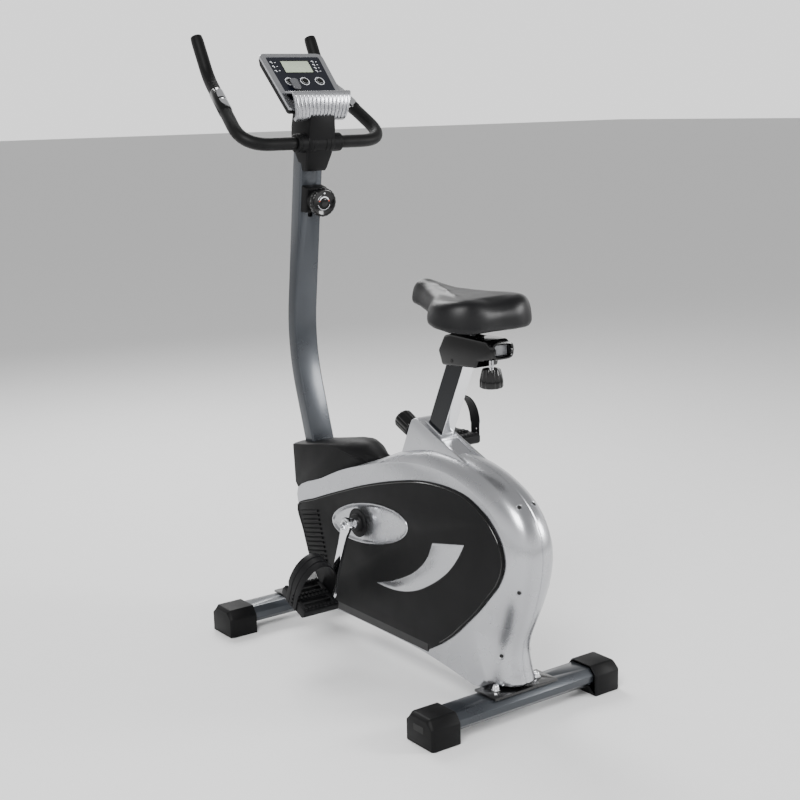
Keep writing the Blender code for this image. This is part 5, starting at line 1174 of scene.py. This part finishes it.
def console():
    """The console: silver frame, dark printed face, display, keys and their printed marks."""
    half = CONSOLE_HALF
    rings = []
    for out, grow in ((-0.0060, -0.0004), (-0.0020, 0.0), (-0.0005, -0.0006), (0.0, -0.0020)):
        corners = [(-0.0802, -half), (0.0802, -half), (0.0850, half), (-0.0850, half)]
        shape = rounded_corners([(x + grow * math.copysign(1.0, x), up + grow * math.copysign(1.0, up))
                                 for x, up in corners],
                                [0.006, 0.006, 0.016, 0.016])
        rings.append([on_console(x, up, out) for x, up in shape])
    shell = loose("console shell", skin(rings))
    window = rounded_corners([(-0.0665, -0.0600), (0.0665, -0.0600), (0.0715, 0.0745), (-0.0715, 0.0745)],
                             [0.004, 0.004, 0.006, 0.006])
    cut(shell, console_slab(window, -0.0022, 0.01))
    dress(shell, "silver", "base", ["console_body"])
    under = []
    for out, grow in ((-0.026, 0.014), (-0.0225, 0.006), (-0.0120, 0.0016), (-0.0062, 0.0012)):
        shape = rounded_corners([(-0.0802 + grow, grow - half), (0.0802 - grow, grow - half),
                                 (0.0850 - grow, half - grow), (grow - 0.0850, half - grow)],
                                [0.006, 0.006, 0.014, 0.014])
        under.append([on_console(x, up, out) for x, up in shape])
    place("console back", skin(under), "panel", "base")
    back = carried_copy("console_body", "console neck")
    neck_z = mast_top()[1]
    slab = prism([(0.10, neck_z - 0.05), (0.45, neck_z - 0.05), (0.45, neck_z + 0.012), (0.10, neck_z + 0.012)],
                 -0.2, 0.2)
    cut(back, slab, operation="INTERSECT")
    dress(back, "panel", "base")
    face = loose("console face", console_slab(window, -0.0030, -0.0009))
    hollow = rounded_corners([(-0.0370, 0.0265), (0.0370, 0.0265), (0.0370, 0.0625), (-0.0370, 0.0625)], 0.0015)
    wells = [turned([(0, 0.0098), (0.02, 0.0098)], on_console(x, BUTTON_UP, -0.01), CONSOLE_NORMAL, 32)
             for x in BUTTON_X]
    cut(face, console_slab(hollow, -0.0018, 0.01), *wells)
    dress(face, "face", "base")
    glass = loose("display glass", console_slab(hollow, -0.0022, -0.0010))
    rounded(glass, 0.0003, 2, 40.0)
    dress(glass, "display", "base", ["console_lens"])
    window_edge = rounded_corners([(-0.0388, 0.0247), (0.0388, 0.0247), (0.0388, 0.0643),
                                   (-0.0388, 0.0643)], 0.002)
    frame_ring = skin([[on_console(x, up, o) for x, up in shape] for shape, o in
                       ((window_edge, -0.0010), (window_edge, -0.0006), (hollow, -0.0006), (hollow, -0.0014))],
                      loop=True)
    place("display surround", frame_ring, "bead", "base")
    for number, (word, x) in enumerate(zip(("left", "middle", "right"), BUTTON_X)):
        start = on_console(x, BUTTON_UP, -0.0060 + 0.0022)
        key = turned([(0.0, 0.0092), (0.0040, 0.0092), (0.0050, 0.0084), (0.0055, 0.0060), (0.0056, 0.0020)],
                     start, CONSOLE_NORMAL, 40)
        place(f"{word} key", key, "gloss", f"{word}_key", [f"{word}_button"])
        face_at = on_console(x, BUTTON_UP, -0.0009)
        arc_strip(f"{word} key ring", face_at, CONSOLE_NORMAL, 0.0102, 0.0118, -180, 180, "ink", "base")
        top = start + CONSOLE_NORMAL * 0.0054
        arc_strip(f"{word} key mark", top, CONSOLE_NORMAL, 0.0038, 0.0049, -140 + 40 * number, 130, "ink",
                  f"{word}_key")
        arc_strip(f"{word} key edge", start + CONSOLE_NORMAL * 0.0050, CONSOLE_NORMAL, 0.0072, 0.0081,
                  -180, 180, "ink", f"{word}_key")
    marks()


def carried_copy(node, name):
    """A plain copy of a CAD node, not dressed yet."""
    bm = bmesh.new()
    bm.from_mesh(NODES[node].data)
    return loose(name, bm)


def marks():
    """Plain pictogram blocks beside the display: three on the left and four on the right."""
    ink = bmesh.new()
    shapes = [(-0.0555, 0.058), (-0.0550, 0.045), (-0.0545, 0.031), (0.0555, 0.060), (0.0550, 0.050),
              (0.0545, 0.040), (0.0540, 0.030)]
    for i, (x, up) in enumerate(shapes):
        bars = [(-0.0075, 0.0018, 0.0050, 0.0010), (-0.0055, -0.0014, 0.0022, 0.0014),
                (0.0030, 0.0006 * (i % 3), 0.0034, 0.0009)]
        for dx, dy, width, tall in bars:
            corners = [(x + dx - width / 2, up + dy - tall), (x + dx + width / 2, up + dy - tall),
                       (x + dx + width / 2, up + dy + tall), (x + dx - width / 2, up + dy + tall)]
            gather(ink, console_slab(corners, -0.0012, -0.0008))
    place("console marks", ink, "ink", "base")


def media_ledge():
    """The silver ledge: a curled front with upright ribs and a row of dots on its lip."""
    outer = [(0.2470, 1.2612), (0.2100, 1.2612), (0.2050, 1.2590), (0.2020, 1.2500), (0.2010, 1.2350),
             (0.2022, 1.2180), (0.2060, 1.2060), (0.2120, 1.1985), (0.2200, 1.1950)]
    inner = [(0.2230, 1.1990), (0.2150, 1.2025), (0.2095, 1.2090), (0.2062, 1.2200), (0.2052, 1.2350),
             (0.2060, 1.2480), (0.2085, 1.2560), (0.2440, 1.2570)]
    rings = []
    for x in (-1.0, -0.985, 0.985, 1.0):
        ring = []
        for y, z in outer + inner:
            half = 0.065 + 0.013 * (z - 1.195) / 0.066
            droop = 0.0020 if abs(x) == 1.0 and z < 1.24 else 0.0
            ring.append(at(x * half, y + droop, z + droop))
        rings.append(ring)
    ledge = loose("media ledge", skin(rings))
    rounded(ledge, 0.0007, 2, 35.0)
    dress(ledge, "silver", "base", ["media_ledge"])
    rows = [(0.2046, 1.2555), (0.2014, 1.2480), (0.2003, 1.2350), (0.2016, 1.2180), (0.2054, 1.2062),
            (0.2105, 1.1998)]
    count = 14
    for i in range(count):
        share = -1.0 + 2.0 * i / (count - 1)
        path = [at(share * 0.92 * (0.065 + 0.013 * (z - 1.195) / 0.066), y, z)
                for y, z in curve_through(rows, 4, closed=False)]
        rib = skin(sweep(path, lambda t: 0.0017 * min(1.0, 6.0 * min(t, 1.0 - t) + 0.25), 10))
        place(f"ledge rib {i + 1}", rib, "silver", "base")
    # Near-black discs along the lip: painted shade inside small holes.
    dot = skin([circle((0, 0, h), (0, 0, 1), r, 10) for h, r in ((-0.0004, 0.0009), (0.0004, 0.0009))])
    repeated("ledge dots", dot, "recess", "base", 19, at(-0.0685, 0.2072, 1.2612), (0.0076, 0, 0))


def page_clip():
    """The smoked finger that holds a page."""
    low, high = -0.0460, -0.0260
    outline = [(low + 0.003, -0.0330), (high - 0.003, -0.0330), (high, -0.0290), (high, -0.0060),
               (high - 0.004, -0.0010), (low + 0.004, -0.0010), (low, -0.0060), (low, -0.0290)]
    finger = loose("page clip", console_slab(outline, 0.0062, 0.0092))
    rounded(finger, 0.0009, 3, 30.0)
    dress(finger, "smoke", "page_clip", ["media_clip"])


# ---------------------------------------------------------------- the rest, carried over
def carried_pieces():
    plain = [("frame", "enamel", 0.0006), ("front_stabiliser", "gunmetal", 0.0020),
             ("rear_stabiliser", "gunmetal", 0.0020), ("front_left_foot", "panel", 0.0022),
             ("front_right_foot", "panel", 0.0022), ("rear_left_foot", "panel", 0.0030),
             ("rear_right_foot", "panel", 0.0030), ("front_clamp_bolts", "chrome", 0.0003),
             ("rear_clamp_bolts", "chrome", 0.0003), ("left_transport_wheel", "grey", 0.0010),
             ("right_transport_wheel", "grey", 0.0010), ("bottom_bracket", "steel", 0.0003),
             ("crank_axle", "steel", 0.0004), ("left_pedal_axle", "steel", 0.0004),
             ("right_pedal_axle", "steel", 0.0004), ("crank_pulley", "panel", 0.0005),
             ("drive_belt", "rubber", 0.0003), ("flywheel", "iron", 0.0008),
             ("flywheel_pulley", "steel", 0.0003),
             ("flywheel_axle", "steel", 0.0004), ("idler_pulley", "grey", 0.0004),
             ("magnet_bracket", "steel", 0.0004), ("tension_cable", "rubber", 0.0001),
             ("seat_post", "chrome", 0.0004), ("post_bushing", "silver", 0.0004),
             ("saddle_slider", "grey", 0.0008), ("saddle_base", "panel", 0.0010), ("mast", "gunmetal", 0.0012)]
    for node, finish, width in plain:
        carried(node, finish, width)


def cap_recesses():
    """A shallow label recess on the outer end of each rear cap, its floor coloured near black as painted shade.
    """
    for word, side in SIDES:
        low, high = sorted((side * 0.2496, side * 0.2503))
        shape = [(-0.4640, 0.0300), (-0.4320, 0.0300), (-0.4320, 0.0440), (-0.4640, 0.0440)]
        place(f"{word} cap recess", prism(shape, low, high), "recess", "base")


# ---------------------------------------------------------------- stage
def stage():
    floor = loose("floor", skin([[Vector((x, y, z)) for x, y in ((-60, -60), (60, -60), (60, 60), (-60, 60))]
                                 for z in (-0.02, -0.0002)]))
    material = finish_of("studio floor", "#f2f2f2", "#f5f5f5", 0.0, 0.75, 0.03, 5.0, 0.001)
    floor.data.materials.append(material)
    world = bpy.data.worlds.new("studio")
    bpy.context.scene.world = world
    world.use_nodes = True
    tree = world.node_tree
    direction = add_node(tree, "ShaderNodeTexCoord")
    parts = add_node(tree, "ShaderNodeSeparateXYZ", links={"Vector": direction.outputs["Object"]})
    dim = add_node(tree, "ShaderNodeMapRange", {"interpolation_type": "SMOOTHSTEP"},
                   {"From Min": 0.12, "From Max": 0.55, "To Min": 1.45, "To Max": 0.45},
                   {"Value": parts.outputs["Z"]})
    tree.links.new(dim.outputs["Result"], tree.nodes["Background"].inputs["Strength"])
    tree.nodes["Background"].inputs["Color"].default_value = (1.0, 1.0, 1.0, 1.0)
    lamps = [((-2.2, -2.0, 2.9), (0.0, 0.0, 0.5), 1.5, 130.0), ((2.4, -2.4, 1.6), (0.0, -0.1, 0.5), 0.9, 60.0),
             ((0.6, 2.6, 2.8), (0.0, 0.0, 0.8), 1.6, 110.0)]
    for number, (position, target, size, power) in enumerate(lamps):
        light = bpy.data.lights.new(f"softbox {number + 1}", "AREA")
        light.size = size
        light.energy = power
        lamp = bpy.data.objects.new(f"softbox {number + 1}", light)
        bpy.context.scene.collection.objects.link(lamp)
        lamp.location = position
        lamp.rotation_mode = "QUATERNION"
        lamp.rotation_quaternion = (Vector(target) - Vector(position)).to_track_quat("-Z", "Y")


def camera():
    data = bpy.data.cameras.new("camera")
    data.sensor_width = 36.0
    data.lens = 64.27
    obj = bpy.data.objects.new("camera", data)
    bpy.context.scene.collection.objects.link(obj)
    yaw, pitch, roll = math.radians(35.76), math.radians(11.73), math.radians(1.35)
    ahead = Vector((math.sin(yaw) * math.cos(pitch), math.cos(yaw) * math.cos(pitch), -math.sin(pitch)))
    right = Vector((math.cos(yaw), -math.sin(yaw), 0.0))
    down = ahead.cross(right)
    right_rolled = right * math.cos(roll) + down * math.sin(roll)
    down_rolled = down * math.cos(roll) - right * math.sin(roll)
    turn = Matrix((right_rolled, -down_rolled, -ahead)).transposed()
    obj.matrix_world = Matrix.Translation(at(-1.781, -2.539, 1.229)) @ turn.to_4x4()
    bpy.context.scene.camera = obj


def build():
    camera()
    for word, side in SIDES:
        shell = cover(word, side)
        cover_screws(word, side, shell)
        side_panel(word, side)
        crescent(word, side)
        crank_dish(word, side)
        crank_arm(word, side)
    seat_boss()
    mast_shroud()
    pedal("left", -1, LEFT_PEDAL_TILT)
    pedal("right", 1, 0.0)
    fluted_knobs()
    post_painted_reflections()
    saddle_carriage()
    saddle()
    handlebar()
    clamp_cover()
    tension_dial()
    console()
    media_ledge()
    page_clip()
    carried_pieces()
    cap_recesses()
    stage()


build()
